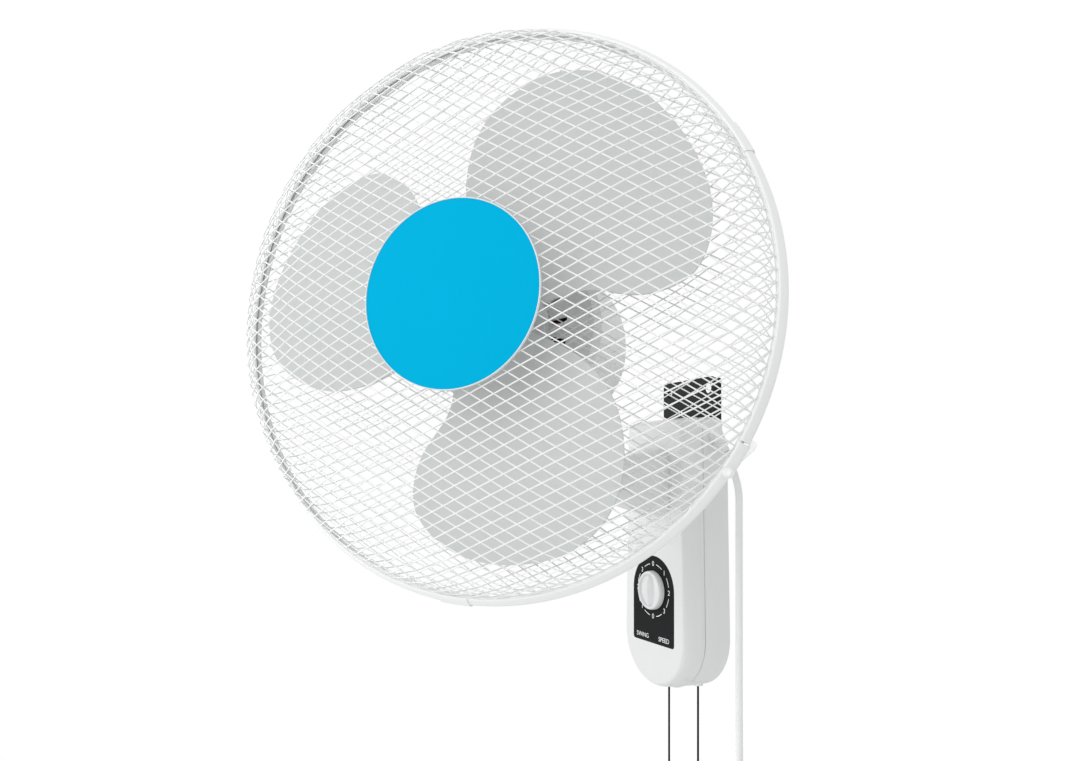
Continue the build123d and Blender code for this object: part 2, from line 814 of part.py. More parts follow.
# ---- support arm ------------------------------------------------------------------------------
with BuildPart() as support_arm:
    with BuildSketch(front(base_depth + seat_gap)):
        with Locations((0, arm_root_z)):
            RectangleRounded(arm_root_width, arm_root_height, arm_corner)
    with BuildSketch(front(arm_middle_depth)):
        with Locations((0, arm_middle_z)):
            RectangleRounded(arm_middle_width, arm_middle_height, arm_corner)
    with BuildSketch(front(arm_end_depth)):
        with Locations((0, tilt_pivot_z)):
            RectangleRounded(fork_width, arm_end_height, arm_corner / 2)
    loft(ruled=True)
    with BuildSketch(Plane.YZ.offset(-fork_width / 2)):
        with Locations((-tilt_pivot_depth, tilt_pivot_z)):
            Circle(fork_radius)
        with Locations((-arm_end_depth, tilt_pivot_z)):
            Rectangle(tilt_pivot_depth - arm_end_depth, arm_end_height - 4, align=(Align.MAX, Align.CENTER))
    extrude(amount=fork_width)
    with BuildSketch(front(tilt_pivot_depth - fork_radius - 0.7)):
        with Locations((0, tilt_pivot_z)):
            Rectangle(lug_width + 2 * seat_gap, 3 * fork_radius)
    extrude(amount=3 * fork_radius, mode=Mode.SUBTRACT)
    # room for the knuckle's stem when the head tilts back
    with BuildSketch(Plane.YZ.offset(-lug_width / 2 - seat_gap)):
        Polygon(
            (-arm_relief_start, arm_relief_low),
            (-arm_relief_end, arm_relief_top),
            (-arm_relief_start, arm_relief_top),
            align=None,
        )
    extrude(amount=lug_width + 2 * seat_gap, mode=Mode.SUBTRACT)
    with BuildSketch(Plane.YZ.offset(-fork_width)):
        with Locations((-tilt_pivot_depth, tilt_pivot_z)):
            Circle(tilt_bolt_radius + hole_gap)
    extrude(amount=2 * fork_width, mode=Mode.SUBTRACT)
    with BuildSketch(front(base_depth)):
        with Locations((0, arm_root_z)):
            with GridLocations(2 * arm_screw_x, 2 * arm_screw_z, 2, 2):
                small_round(arm_screw_radius + hole_gap)
    extrude(amount=arm_screw_length, mode=Mode.SUBTRACT)
save(support_arm, "support_arm")

with BuildPart() as arm_screws:
    with BuildSketch(front(front_inner - seat_gap)):
        with Locations((0, arm_root_z)):
            with GridLocations(2 * arm_screw_x, 2 * arm_screw_z, 2, 2):
                small_round(arm_screw_head_radius)
    extrude(amount=-arm_screw_head_height)
    with BuildSketch(front(front_inner - seat_gap)):
        with Locations((0, arm_root_z)):
            with GridLocations(2 * arm_screw_x, 2 * arm_screw_z, 2, 2):
                small_round(arm_screw_radius)
    extrude(amount=arm_screw_length)
save(arm_screws, "arm_screws")

with BuildPart() as tilt_bolt:
    with BuildSketch(Plane.YZ.offset(fork_width / 2 + seat_gap)):
        with Locations((-tilt_pivot_depth, tilt_pivot_z)):
            RegularPolygon(tilt_bolt_head_width / 2, 6, major_radius=False)
    extrude(amount=tilt_bolt_head_height)
    with BuildSketch(Plane.YZ.offset(fork_width / 2 + seat_gap)):
        with Locations((-tilt_pivot_depth, tilt_pivot_z)):
            Circle(tilt_bolt_radius)
    extrude(amount=-(fork_width + tilt_nut_height + 3))
save(tilt_bolt, "tilt_bolt")

with BuildPart() as tilt_nut:
    with BuildSketch(Plane.YZ.offset(-fork_width / 2 - seat_gap)):
        with Locations((-tilt_pivot_depth, tilt_pivot_z)):
            RegularPolygon(tilt_bolt_head_width / 2, 6, major_radius=False)
            Circle(tilt_bolt_radius + running_gap, mode=Mode.SUBTRACT)
    extrude(amount=-tilt_nut_height)
save(tilt_nut, "tilt_nut")

# ---- tilting knuckle --------------------------------------------------------------------------
neck_profile = Plane(origin=neck.origin, x_dir=neck.x_dir, z_dir=-neck.y_dir)
neck_axis = Axis(neck.origin, neck.z_dir)
with BuildPart() as tilt_knuckle:
    with BuildSketch(neck_profile):
        Polygon(
            (0, 0),
            (stem_start_radius, 0),
            (stem_start_radius, stem_start),
            (stem_radius, stem_cone_top),
            (stem_radius, stem_top),
            (post_radius, stem_top),
            (post_radius, post_top),
            (0, post_top),
            align=None,
        )
    revolve(axis=neck_axis)
    with BuildSketch(Plane.YZ.offset(-lug_width / 2)):
        with Locations((-tilt_pivot_depth, tilt_pivot_z)):
            Circle(fork_radius)
    extrude(amount=lug_width)
    with BuildSketch(Plane.YZ.offset(-lug_width)):
        with Locations((-tilt_pivot_depth, tilt_pivot_z)):
            Circle(tilt_bolt_radius + running_gap)
    extrude(amount=2 * lug_width, mode=Mode.SUBTRACT)
    with BuildSketch(neck.offset(post_top - 1)):
        with Locations((rocker_radius - drive_pin_radius, 0)):
            Circle(drive_pin_radius)
    extrude(amount=1 + stud_length)
save(tilt_knuckle, "tilt_knuckle")


def deck(height):
    """A plane square to the swing axis at this height in the head: X right, Y to the back."""
    return swing.offset(motor_axis_height + height)


with BuildPart() as swing_washer:
    with BuildSketch(neck.offset(stem_top + seat_gap)):
        Circle(washer_radius)
        Circle(post_radius + hole_gap, mode=Mode.SUBTRACT)
    extrude(amount=washer_thickness)
save(swing_washer, "swing_washer")

with BuildPart() as post_ring:
    with BuildSketch(neck.offset(ring_clip_height)):
        Circle(ring_clip_radius)
        Circle(post_radius + running_gap, mode=Mode.SUBTRACT)
    extrude(amount=ring_clip_thickness)
save(post_ring, "post_ring")

# ---- oscillation drive ------------------------------------------------------------------------
crank_radius = (rocker_radius - drive_pin_radius) * sin(radians(swing_at_rest))
stud_x = (rocker_radius - drive_pin_radius) * cos(radians(swing_at_rest))
link_low = post_top + 0.5 - motor_axis_height
crank_low = link_low + link_thickness + 0.4
motor_low = crank_low + crank_disc_thickness + 0.4
crank_pin = (crank_offset, -crank_distance - crank_radius)
link_eye = (stud_x - link_eye_offset, -crank_radius)
with BuildPart() as swing_crank:
    with BuildSketch(deck(crank_low)):
        with Locations((crank_offset, -crank_distance)):
            Circle(crank_disc_radius)
    extrude(amount=crank_disc_thickness)
    with BuildSketch(deck(crank_low)):
        with Locations((crank_offset, -crank_distance)):
            Circle(crank_shaft_radius)
    extrude(amount=crank_disc_thickness + crank_shaft_length)
    with BuildSketch(deck(crank_low)):
        with Locations(crank_pin):
            Circle(drive_pin_radius)
    extrude(amount=-(link_thickness + 1))
save(swing_crank, "swing_crank")

with BuildPart() as swing_link:
    with BuildSketch(deck(link_low)):
        with BuildLine():
            Line(crank_pin, link_eye)
        trace(line_width=link_width)
        with Locations(crank_pin):
            Circle(link_width / 2)
        with Locations(link_eye):
            Circle(link_eye_radius + 2.4)
            Circle(link_eye_radius, mode=Mode.SUBTRACT)
        with Locations(crank_pin):
            Circle(drive_pin_radius + running_gap, mode=Mode.SUBTRACT)
    extrude(amount=link_thickness)
save(swing_link, "swing_link")

ear_points = (
    (crank_offset - swing_motor_ear, -swing_motor_post_z),
    (crank_offset + swing_motor_ear, -swing_motor_post_z),
)
with BuildPart() as swing_motor:
    with BuildSketch(deck(motor_low)):
        with Locations((crank_offset, -crank_distance)):
            Circle(swing_motor_radius)
            Circle(crank_shaft_radius + running_gap, mode=Mode.SUBTRACT)
    extrude(amount=swing_motor_thickness)
    with BuildSketch(deck(motor_low)):
        with Locations(*ear_points):
            Circle(swing_motor_post)
        with Locations((crank_offset, -swing_motor_post_z)):
            Rectangle(2 * swing_motor_ear, 2 * swing_motor_post)
        with Locations((crank_offset, -crank_distance)):
            Circle(swing_motor_radius - 3, mode=Mode.SUBTRACT)
    extrude(amount=1.5)
save(swing_motor, "swing_motor")

# ---- motor housings ---------------------------------------------------------------------------
flat_back = drum_radius - drum_back_radius
curve_z = drum_back + drum_back_radius
inner_r = flat_back + 0.7 * drum_back_radius - drum_wall
inner_z = drum_back + 0.3 * drum_back_radius + drum_wall
screw_xy = shell_screw_circle / sqrt(2)
with BuildPart() as motor_rear_housing:
    with BuildSketch(radial(0)):
        with BuildLine():
            Polyline(
                (0, drum_back),
                (flat_back, drum_back),
                (flat_back + 0.52 * drum_back_radius, drum_back + 0.13 * drum_back_radius),
                (flat_back + 0.87 * drum_back_radius, drum_back + 0.48 * drum_back_radius),
                (drum_radius, curve_z),
                (drum_radius, drum_split),
                (drum_radius - drum_wall, drum_split),
                (drum_radius - drum_wall, curve_z),
                (inner_r, inner_z),
                (flat_back, drum_back + drum_wall),
                (0, drum_back + drum_wall),
                close=True,
            )
        make_face()
    revolve(axis=head_axis)
    with BuildSketch(deck(neck_boss_low)):
        Circle(neck_boss_radius)
    extrude(amount=neck_boss_high - neck_boss_low)
    with BuildSketch(deck(neck_boss_low - 5)):
        Circle(post_radius + running_gap)
    extrude(amount=30, mode=Mode.SUBTRACT)
    with BuildSketch(deck(-drum_radius + 4)):
        with Locations(*ear_points):
            Circle(swing_motor_post)
    extrude(amount=motor_low - seat_gap + drum_radius - 4)
    with BuildSketch(head.offset(curve_z - 20)):
        with GridLocations(2 * screw_xy, 2 * screw_xy, 2, 2):
            small_round(shell_boss_radius)
    extrude(amount=drum_split - curve_z + 20)
    with BuildSketch(head.offset(shell_screw_seat)):
        with GridLocations(2 * screw_xy, 2 * screw_xy, 2, 2):
            small_round(shell_screw_head_radius + seat_gap)
    extrude(amount=-60, mode=Mode.SUBTRACT)
    with BuildSketch(head.offset(drum_split)):
        with GridLocations(2 * screw_xy, 2 * screw_xy, 2, 2):
            small_round(shell_screw_radius + hole_gap)
    extrude(amount=-60, mode=Mode.SUBTRACT)
    with BuildSketch(head.offset(drum_back)):
        for row in range(-4, 5):
            reach = sqrt(back_vent_radius ** 2 - (row * back_vent_pitch) ** 2)
            with Locations((0, row * back_vent_pitch)):
                Rectangle(2 * reach, back_vent_width)
    extrude(amount=2 * drum_wall, both=True, mode=Mode.SUBTRACT)
save(motor_rear_housing, "motor_rear_housing")

wall_back = drum_front - drum_wall
with BuildPart() as motor_front_housing:
    with BuildSketch(radial(0)):
        with BuildLine():
            Polyline(
                (drum_radius, drum_front - drum_front_radius),
                (drum_radius - drum_front_radius, drum_front),
                (spigot_radius, drum_front),
                (spigot_radius, spigot_front),
                (spigot_bore, spigot_front),
                (spigot_bore, drum_front),
                (shaft_radius + 1, drum_front),
                (shaft_radius + 1, drum_front - 1.2),
                (bearing_radius + running_gap, drum_front - 1.2),
                (bearing_radius + running_gap, drum_front - bearing_length - 2),
                (bearing_boss_radius, drum_front - bearing_length - 2),
                (bearing_boss_radius, wall_back),
                (drum_radius - drum_front_radius, wall_back),
                (drum_radius - drum_wall, drum_front - drum_front_radius),
                (drum_radius - drum_wall, drum_split),
                (drum_radius, drum_split),
                close=True,
            )
        make_face()
    revolve(axis=head_axis)
    with BuildSketch(head.offset(stator_front + seat_gap)):
        with GridLocations(stator_screw_spacing, stator_screw_spacing, 2, 2):
            small_round(stator_post_radius)
    extrude(amount=wall_back - stator_front)
    with BuildSketch(head.offset(drum_split)):
        with GridLocations(2 * screw_xy, 2 * screw_xy, 2, 2):
            small_round(shell_boss_radius)
    extrude(amount=wall_back - drum_split + 1)
    with BuildSketch(head.offset(drum_split)):
        with GridLocations(2 * screw_xy, 2 * screw_xy, 2, 2):
            small_round(shell_screw_radius + hole_gap)
        with GridLocations(stator_screw_spacing, stator_screw_spacing, 2, 2):
            small_round(stator_screw_radius + hole_gap)
    extrude(amount=wall_back - drum_split - 1, mode=Mode.SUBTRACT)
    with BuildSketch(head.offset(drum_front)):
        with PolarLocations((vent_inner_radius + vent_outer_radius) / 2, vent_count, 180 / vent_count):
            Rectangle(vent_outer_radius - vent_inner_radius, vent_width)
    extrude(amount=drum_wall + 1, both=True, mode=Mode.SUBTRACT)
save(motor_front_housing, "motor_front_housing")

with BuildPart() as housing_screws:
    with BuildSketch(head.offset(shell_screw_seat - seat_gap)):
        with GridLocations(2 * screw_xy, 2 * screw_xy, 2, 2):
            small_round(shell_screw_head_radius)
    extrude(amount=-shell_screw_head_height)
    with BuildSketch(head.offset(shell_screw_seat - seat_gap)):
        with GridLocations(2 * screw_xy, 2 * screw_xy, 2, 2):
            small_round(shell_screw_radius)
    extrude(amount=shell_screw_length)
save(housing_screws, "housing_screws")

# ---- motor inside -----------------------------------------------------------------------------
stator_middle = (slot_inner_radius + slot_outer_radius) / 2
with BuildPart() as stator_core:
    with BuildSketch(head.offset(stator_back)):
        Rectangle(stator_width, stator_width)
        Circle(stator_bore, mode=Mode.SUBTRACT)
        with PolarLocations(stator_middle, stator_slots, 180 / stator_slots):
            Rectangle(slot_outer_radius - slot_inner_radius, slot_width, mode=Mode.SUBTRACT)
        with GridLocations(stator_screw_spacing, stator_screw_spacing, 2, 2):
            RegularPolygon(stator_screw_radius + hole_gap, 8, mode=Mode.SUBTRACT)
    extrude(amount=stator_front - stator_back)
save(stator_core, "stator_core")

with BuildPart() as stator_windings:
    for ring_start in (stator_back - seat_gap - winding_length, stator_front + seat_gap):
        with BuildSketch(head.offset(ring_start)):
            Circle(winding_outer_radius)
            Circle(winding_inner_radius, mode=Mode.SUBTRACT)
        extrude(amount=winding_length)
    with BuildSketch(head.offset(stator_back - 1)):
        with PolarLocations(stator_middle, stator_slots, 180 / stator_slots):
            Rectangle(slot_outer_radius - slot_inner_radius - 1, slot_width - 1)
    extrude(amount=stator_front - stator_back + 2)
save(stator_windings, "stator_windings")

with BuildPart() as stator_screws:
    with BuildSketch(head.offset(shield_back - seat_gap)):
        with GridLocations(stator_screw_spacing, stator_screw_spacing, 2, 2):
            small_round(stator_screw_head_radius)
    extrude(amount=-stator_screw_head_height)
    with BuildSketch(head.offset(shield_back - seat_gap)):
        with GridLocations(stator_screw_spacing, stator_screw_spacing, 2, 2):
            small_round(stator_screw_radius)
    extrude(amount=stator_front - shield_back + 7)
save(stator_screws, "stator_screws")

with BuildPart() as end_shield:
    with BuildSketch(head.offset(shield_back)):
        Rectangle(stator_width, stator_width)
    extrude(amount=shield_thickness)
    with BuildSketch(head.offset(shield_back)):
        Circle(shield_boss_radius)
        with GridLocations(stator_screw_spacing, stator_screw_spacing, 2, 2):
            small_round(stator_post_radius)
    extrude(amount=bearing_length + 1)
    with BuildSketch(head.offset(shield_back)):
        with GridLocations(stator_screw_spacing, stator_screw_spacing, 2, 2):
            small_round(stator_post_radius)
    extrude(amount=stator_back - shield_back - seat_gap)
    with BuildSketch(head.offset(shield_back + 0.8)):
        Circle(bearing_radius + running_gap)
    extrude(amount=20, mode=Mode.SUBTRACT)
    with BuildSketch(head.offset(shield_back - 1)):
        Circle(shaft_radius + 1)
        with GridLocations(stator_screw_spacing, stator_screw_spacing, 2, 2):
            small_round(stator_screw_radius + hole_gap)
    extrude(amount=30, mode=Mode.SUBTRACT)
save(end_shield, "end_shield")

bearing_fronts = (
    ("front_bearing", drum_front - 1.4),
    ("rear_bearing", shield_back + 1 + bearing_length),
)
for bearing_name, bearing_z in bearing_fronts:
    with BuildPart() as bearing:
        with BuildSketch(head.offset(bearing_z)):
            Circle(bearing_radius)
            Circle(shaft_radius + running_gap, mode=Mode.SUBTRACT)
        extrude(amount=-bearing_length)
    save(bearing, bearing_name)

with BuildPart() as rotor_core:
    with BuildSketch(head.offset(stator_back)):
        Circle(rotor_core_radius)
        Circle(shaft_radius + running_gap / 2, mode=Mode.SUBTRACT)
    extrude(amount=stator_front - stator_back)
save(rotor_core, "rotor_core")

# ---- shaft, fan blade and nut -----------------------------------------------------------------
pin_plane = Plane(origin=head.offset(hub_pin_z).origin, x_dir=head.z_dir, z_dir=head.x_dir)
with BuildPart() as motor_shaft:
    with BuildSketch(head.offset(shaft_back)):
        Circle(shaft_radius)
    extrude(amount=shaft_front - shaft_back)
    with BuildSketch(pin_plane):
        Circle(hub_pin_radius + running_gap)
    extrude(amount=2 * shaft_radius, both=True, mode=Mode.SUBTRACT)
save(motor_shaft, "motor_shaft")

with BuildPart() as drive_pin:
    with BuildSketch(pin_plane):
        Circle(hub_pin_radius)
    extrude(amount=hub_pin_length / 2, both=True)
save(drive_pin, "drive_pin")


def blade(angle):
    """One blade: its outline seen from the front, cut from a sheet curved across the blade."""
    turned = Plane(head.location * Rot(0, 0, angle))
    across = Plane(origin=turned.origin, x_dir=turned.y_dir, z_dir=turned.x_dir)
    middle_y = (blade_leading_y + blade_trailing_y) / 2
    with BuildPart() as leaf:
        with BuildSketch(turned.offset(blade_leading_z - 10)):
            with BuildLine():
                tip = Spline(*blade_outline)
                Polyline(tip @ 1, blade_root[0], blade_root[1], tip @ 0)
            make_face()
        extrude(amount=blade_trailing_z - blade_leading_z + 20)
        with BuildSketch(across):
            with BuildLine():
                back = ThreePointArc(
                    (blade_leading_y, blade_leading_z - blade_thickness / 2),
                    (middle_y, blade_middle_z - blade_thickness / 2),
                    (blade_trailing_y, blade_trailing_z - blade_thickness / 2),
                )
                face = ThreePointArc(
                    (blade_leading_y, blade_leading_z + blade_thickness / 2),
                    (middle_y, blade_middle_z + blade_thickness / 2),
                    (blade_trailing_y, blade_trailing_z + blade_thickness / 2),
                )
                Line(back @ 0, face @ 0)
                Line(back @ 1, face @ 1)
            make_face()
        extrude(amount=220, mode=Mode.INTERSECT)
    return leaf.part


with BuildPart() as fan_blade:
    with BuildSketch(radial(0)):
        Polygon(
            (shaft_radius + running_gap, hub_front),
            (hub_radius - 4, hub_front),
            (hub_radius, hub_front - 4),
            (hub_radius, hub_back),
            (hub_radius - hub_wall, hub_back),
            (hub_radius - hub_wall, hub_front - 2 * hub_wall),
            (hub_core_radius, hub_front - hub_wall),
            (hub_core_radius, hub_back),
            (shaft_radius + running_gap, hub_back),
            align=None,
        )
    revolve(axis=head_axis)
    for number in range(blade_count):
        add(blade(blade_phase + number * 360 / blade_count))
    with BuildSketch(head.offset(hub_back)):
        Circle(hub_radius - hub_wall)
        Circle(hub_core_radius, mode=Mode.SUBTRACT)
    extrude(amount=hub_front - hub_back - 2 * hub_wall, mode=Mode.SUBTRACT)
    with BuildSketch(head.offset(hub_back)):
        Rectangle(2 * hub_core_radius + 4, 2 * (hub_pin_radius + hole_gap))
    extrude(amount=hub_pin_z + hub_pin_radius + hole_gap - hub_back, mode=Mode.SUBTRACT)
save(fan_blade, "fan_blade")

with BuildPart() as blade_nut:
    with BuildSketch(radial(0)):
        with BuildLine():
            Polyline(
                (shaft_radius + running_gap, hub_front + seat_gap),
                (spinner_radius, hub_front + seat_gap),
                (spinner_radius, hub_front + 6),
                (0.85 * spinner_radius, hub_front + 12),
                (0.45 * spinner_radius, spinner_front),
                (0, spinner_front),
                (0, shaft_front + 1),
                (shaft_radius + running_gap, shaft_front + 1),
                close=True,
            )
        make_face()
    revolve(axis=head_axis)
save(blade_nut, "blade_nut")

# ---- guard ------------------------------------------------------------------------------------


def diamonds(level, inner, outer):
    """The openings of a diamond net between two radii, drawn square to the motor axis."""
    columns = 2 * int(outer / net_long) + 3
    rows = 2 * int(outer / net_short) + 3
    wide = net_long / 2 - net_rib
    tall = net_short / 2 - net_rib * net_short / net_long
    with BuildSketch(head.offset(level)) as openings:
        for shift in (0, 0.5):
            with Locations((shift * net_long, shift * net_short)):
                with GridLocations(net_long, net_short, columns, rows):
                    Polygon((-wide, 0), (0, -tall), (wide, 0), (0, tall))
        Circle(outer, mode=Mode.INTERSECT)
        Circle(inner, mode=Mode.SUBTRACT)
    return openings.sketch


def dome(profile, inward):
    """The solid behind a net, many-sided so that its faces are flat, between its radii."""
    with BuildPart() as body:
        for (low_radius, low_z), (high_radius, high_z) in zip(profile, profile[1:]):
            with BuildSketch(head.offset(low_z + inward)):
                RegularPolygon(low_radius - abs(inward), net_sides)
            with BuildSketch(head.offset(high_z + inward)):
                RegularPolygon(high_radius - abs(inward), net_sides)
            loft(ruled=True)
    return body.part


with BuildPart() as rear_grille:
    add(dome(back_net, 0))
    add(dome(back_net, net_thickness), mode=Mode.SUBTRACT)
    extrude(diamonds(drum_front, collar_radius + 2.5, net_open_radius), amount=45, mode=Mode.SUBTRACT)
    with BuildSketch(radial(0)):
        with Locations((spigot_radius + seat_gap, drum_front + seat_gap)):
            Rectangle(collar_radius - spigot_radius - seat_gap, collar_thickness, align=Align.MIN)
        with Locations((back_rim_radius, ring_back + ring_lip + seat_gap)):
            Rectangle(rim_width, rim_depth, align=(Align.CENTER, Align.MIN))
    revolve(axis=head_axis)
    with BuildSketch(head.offset(drum_front)):
        Circle(spigot_radius + seat_gap)
    extrude(amount=45, mode=Mode.SUBTRACT)
save(rear_grille, "rear_grille")

with BuildPart() as rear_grille_nut:
    with BuildSketch(head.offset(drum_front + 2 * seat_gap + collar_thickness)):
        Circle(collar_nut_radius)
        Circle(spigot_radius + running_gap, mode=Mode.SUBTRACT)
        with PolarLocations(collar_nut_radius, collar_nut_notches):
            Rectangle(4, 6, mode=Mode.SUBTRACT)
    extrude(amount=collar_nut_thickness)
save(rear_grille_nut, "rear_grille_nut")

badge_back = badge_front - badge_thickness
ring_level = badge_back - seat_gap - badge_ring_thickness
with BuildPart() as front_grille:
    add(dome(front_net, 0))
    add(dome(front_net, -net_thickness), mode=Mode.SUBTRACT)
    extrude(
        diamonds(ring_front + 4, badge_ring_outer + 3, net_open_radius), amount=60, mode=Mode.SUBTRACT
    )
    with BuildSketch(head.offset(ring_front)):
        Circle(badge_ring_inner)
    extrude(amount=60, mode=Mode.SUBTRACT)
    with BuildSketch(radial(0)):
        with Locations((badge_ring_inner, ring_level)):
            Rectangle(badge_ring_outer - badge_ring_inner, badge_ring_thickness, align=Align.MIN)
        with Locations((front_rim_radius, ring_front - ring_lip - seat_gap)):
            Rectangle(rim_width, rim_depth, align=(Align.CENTER, Align.MAX))
    revolve(axis=head_axis)
save(front_grille, "front_grille")

half_seam = degrees(ring_seam_gap / ring_radius) / 2
cone_slope = (ring_front_radius - ring_radius) / (ring_front - ring_back)
lug_back_r = ring_radius + cone_slope * (clamp_lug_back - ring_back) - 1
lug_front_r = ring_radius + cone_slope * (clamp_lug_front - ring_back) - 1
with BuildPart() as guard_ring:
    with BuildSketch(radial(ring_seam_angle + half_seam)):
        Polygon(
            (ring_radius, ring_back),
            (ring_front_radius, ring_front),
            (ring_front_lip_radius, ring_front),
            (ring_front_lip_radius, ring_front - ring_lip),
            (ring_front_radius - ring_wall, ring_front - ring_lip),
            (ring_radius - ring_wall, ring_back + ring_lip),
            (ring_back_lip_radius, ring_back + ring_lip),
            (ring_back_lip_radius, ring_back),
            align=None,
        )
    revolve(axis=head_axis, revolution_arc=360 - 2 * half_seam)
    with BuildSketch(radial(clamp_screw_angle)):
        Polygon(
            (lug_back_r, clamp_lug_back),
            (clamp_lug_radius, clamp_lug_back),
            (clamp_lug_radius, clamp_lug_front),
            (lug_front_r, clamp_lug_front),
            align=None,
        )
    extrude(amount=clamp_lug_width / 2, both=True)
    screw_x = clamp_screw_circle * cos(radians(clamp_screw_angle))
    screw_y = clamp_screw_circle * sin(radians(clamp_screw_angle))
    with BuildSketch(head.offset(clamp_lug_back - 1)):
        with Locations((screw_x, screw_y)):
            Circle(clamp_screw_radius + hole_gap)
    extrude(amount=20, mode=Mode.SUBTRACT)
save(guard_ring, "guard_ring")

with BuildPart() as ring_clips:
    for clip_angle in clip_angles:
        with BuildSketch(radial(clip_angle - clip_arc / 2)):
            Polygon(
                (ring_back_lip_radius + 3, ring_back - 0.4),
                (ring_radius + 0.5, ring_back - 0.4),
                (ring_front_radius + 0.5, ring_front + 0.4),
                (ring_front_lip_radius + 1, ring_front + 0.4),
                (ring_front_lip_radius + 1, ring_front + 0.4 + clip_thickness),
                (ring_front_radius + 1.8, ring_front + 0.4 + clip_thickness),
                (ring_radius + 2.6, ring_back),
                (ring_radius + 2.2, ring_back - 0.4 - clip_thickness),
                (ring_back_lip_radius + 3, ring_back - 0.4 - clip_thickness),
                align=None,
            )
        revolve(axis=head_axis, revolution_arc=clip_arc)
save(ring_clips, "ring_clips")

tab_back = clamp_lug_front + seat_gap
tab_front = tab_back + clamp_tab_thickness
plate_r = ring_radius + 0.5
plate_front_r = plate_r + cone_slope * (tab_front - ring_back)
with BuildPart() as ring_clamp:
    with BuildSketch(radial(clamp_plate_start)):
        Polygon(
            (plate_r, ring_back),
            (plate_r + clip_thickness, ring_back),
            (plate_front_r + clip_thickness, tab_front),
            (plate_front_r, tab_front),
            align=None,
        )
    revolve(axis=head_axis, revolution_arc=clamp_end - clamp_plate_start)
    with BuildSketch(radial(clamp_start)):
        Polygon(
            (plate_front_r + 1.2, tab_back),
            (clamp_lug_radius, tab_back),
            (clamp_lug_radius, tab_front),
            (plate_front_r + 1.2, tab_front),
            align=None,
        )
    revolve(axis=head_axis, revolution_arc=clamp_end - clamp_start)
    with BuildSketch(head.offset(tab_back - 1)):
        with Locations((screw_x, screw_y)):
            Circle(clamp_screw_radius + hole_gap)
    extrude(amount=20, mode=Mode.SUBTRACT)
save(ring_clamp, "ring_clamp")

with BuildPart() as ring_screw:
    with BuildSketch(head.offset(tab_front + seat_gap)):
        with Locations((screw_x, screw_y)):
            Circle(clamp_screw_head_radius)
    extrude(amount=clamp_screw_head_height)
    with BuildSketch(head.offset(tab_front + seat_gap)):
        with Locations((screw_x, screw_y)):
            Circle(clamp_screw_radius)
    extrude(amount=-(clamp_tab_thickness + seat_gap + 8))
save(ring_screw, "ring_screw")

skirt_radius = badge_ring_inner - seat_gap
with BuildPart() as badge:
    with BuildSketch(radial(0)):
        Polygon(
            (0, badge_back),
            (0, badge_front),
            (badge_diameter / 2 - badge_edge_radius, badge_front),
            (badge_diameter / 2, badge_front - badge_edge_radius),
            (badge_diameter / 2, badge_back),
            (skirt_radius, badge_back),
            (skirt_radius, badge_back - badge_skirt_depth),
            (skirt_radius - badge_skirt_wall, badge_back - badge_skirt_depth),
            (skirt_radius - badge_skirt_wall, badge_back),
            align=None,
        )
    revolve(axis=head_axis)
save(badge, "badge")

with BuildPart() as badge_clip:
    with BuildSketch(head.offset(ring_level - seat_gap)):
        Circle(retainer_radius)
        Circle(skirt_radius + running_gap, mode=Mode.SUBTRACT)
    extrude(amount=-retainer_thickness)
save(badge_clip, "badge_clip")

# ---- cord figures -----------------------------------------------------------------------------
hang_length = sum(edge.length for edge in hang_path.edges())
coil_length = sum(edge.length for edge in coil_path.edges())
section = cord_diameter ** 2 / 4 * 1.5 * sqrt(3)
print("supply cord bend radius", cord_bend_radius, "length", round(hang_length, 1))
print("supply cord volume / section", round(power_cord.part.volume / (pi * cord_diameter ** 2 / 4), 1))
samples = 60
centres = [turn @ (step / samples) for turn in half_turns for step in range(samples)]
nearest = min(
    (first - second).length
    for number, first in enumerate(centres)
    for second in centres[number + samples :]
)
print("coil half-turn radii", [round(turn.radius, 1) for turn in half_turns])
print("coil length", round(coil_length, 1))
print("coil volume / section", round(power_cord_coil.part.volume / section, 1))
print("coil least gap to itself", round(nearest - cord_diameter, 2))
print("tail length", tail_length, "pull cords, straight", pull_cord_length)
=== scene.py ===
"""A wall mounted fan with a net guard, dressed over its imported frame."""
import json
import logging
import math
from dataclasses import dataclass, field
from enum import Enum
from typing import Any, Iterable, Sequence

import bmesh
import bpy
from mathutils import Matrix, Vector


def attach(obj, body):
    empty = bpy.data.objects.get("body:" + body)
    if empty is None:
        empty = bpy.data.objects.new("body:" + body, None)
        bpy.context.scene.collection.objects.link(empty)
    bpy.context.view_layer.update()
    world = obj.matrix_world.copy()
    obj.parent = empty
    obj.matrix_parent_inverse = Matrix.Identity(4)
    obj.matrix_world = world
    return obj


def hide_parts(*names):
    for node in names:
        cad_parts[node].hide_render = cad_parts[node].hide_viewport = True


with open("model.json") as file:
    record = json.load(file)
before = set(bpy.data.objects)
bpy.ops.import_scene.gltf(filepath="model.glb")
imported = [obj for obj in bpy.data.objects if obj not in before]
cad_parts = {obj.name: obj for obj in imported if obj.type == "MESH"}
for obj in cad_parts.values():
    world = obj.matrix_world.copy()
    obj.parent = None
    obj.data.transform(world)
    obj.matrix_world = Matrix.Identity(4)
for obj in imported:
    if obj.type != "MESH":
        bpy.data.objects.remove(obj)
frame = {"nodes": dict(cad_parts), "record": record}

LOG = logging.getLogger("wall_fan")

# Sizes are in millimetres unless a name or a comment says otherwise; the scene is in metres.
MM = 0.001
# An edge that turns more than this stays sharp in shading and gets a rounding where one is asked.
SHARP_DEG = 35.0
# Radius at which the outline of a solid turned piece ends, just beside its axis.
AXIS = 0.01

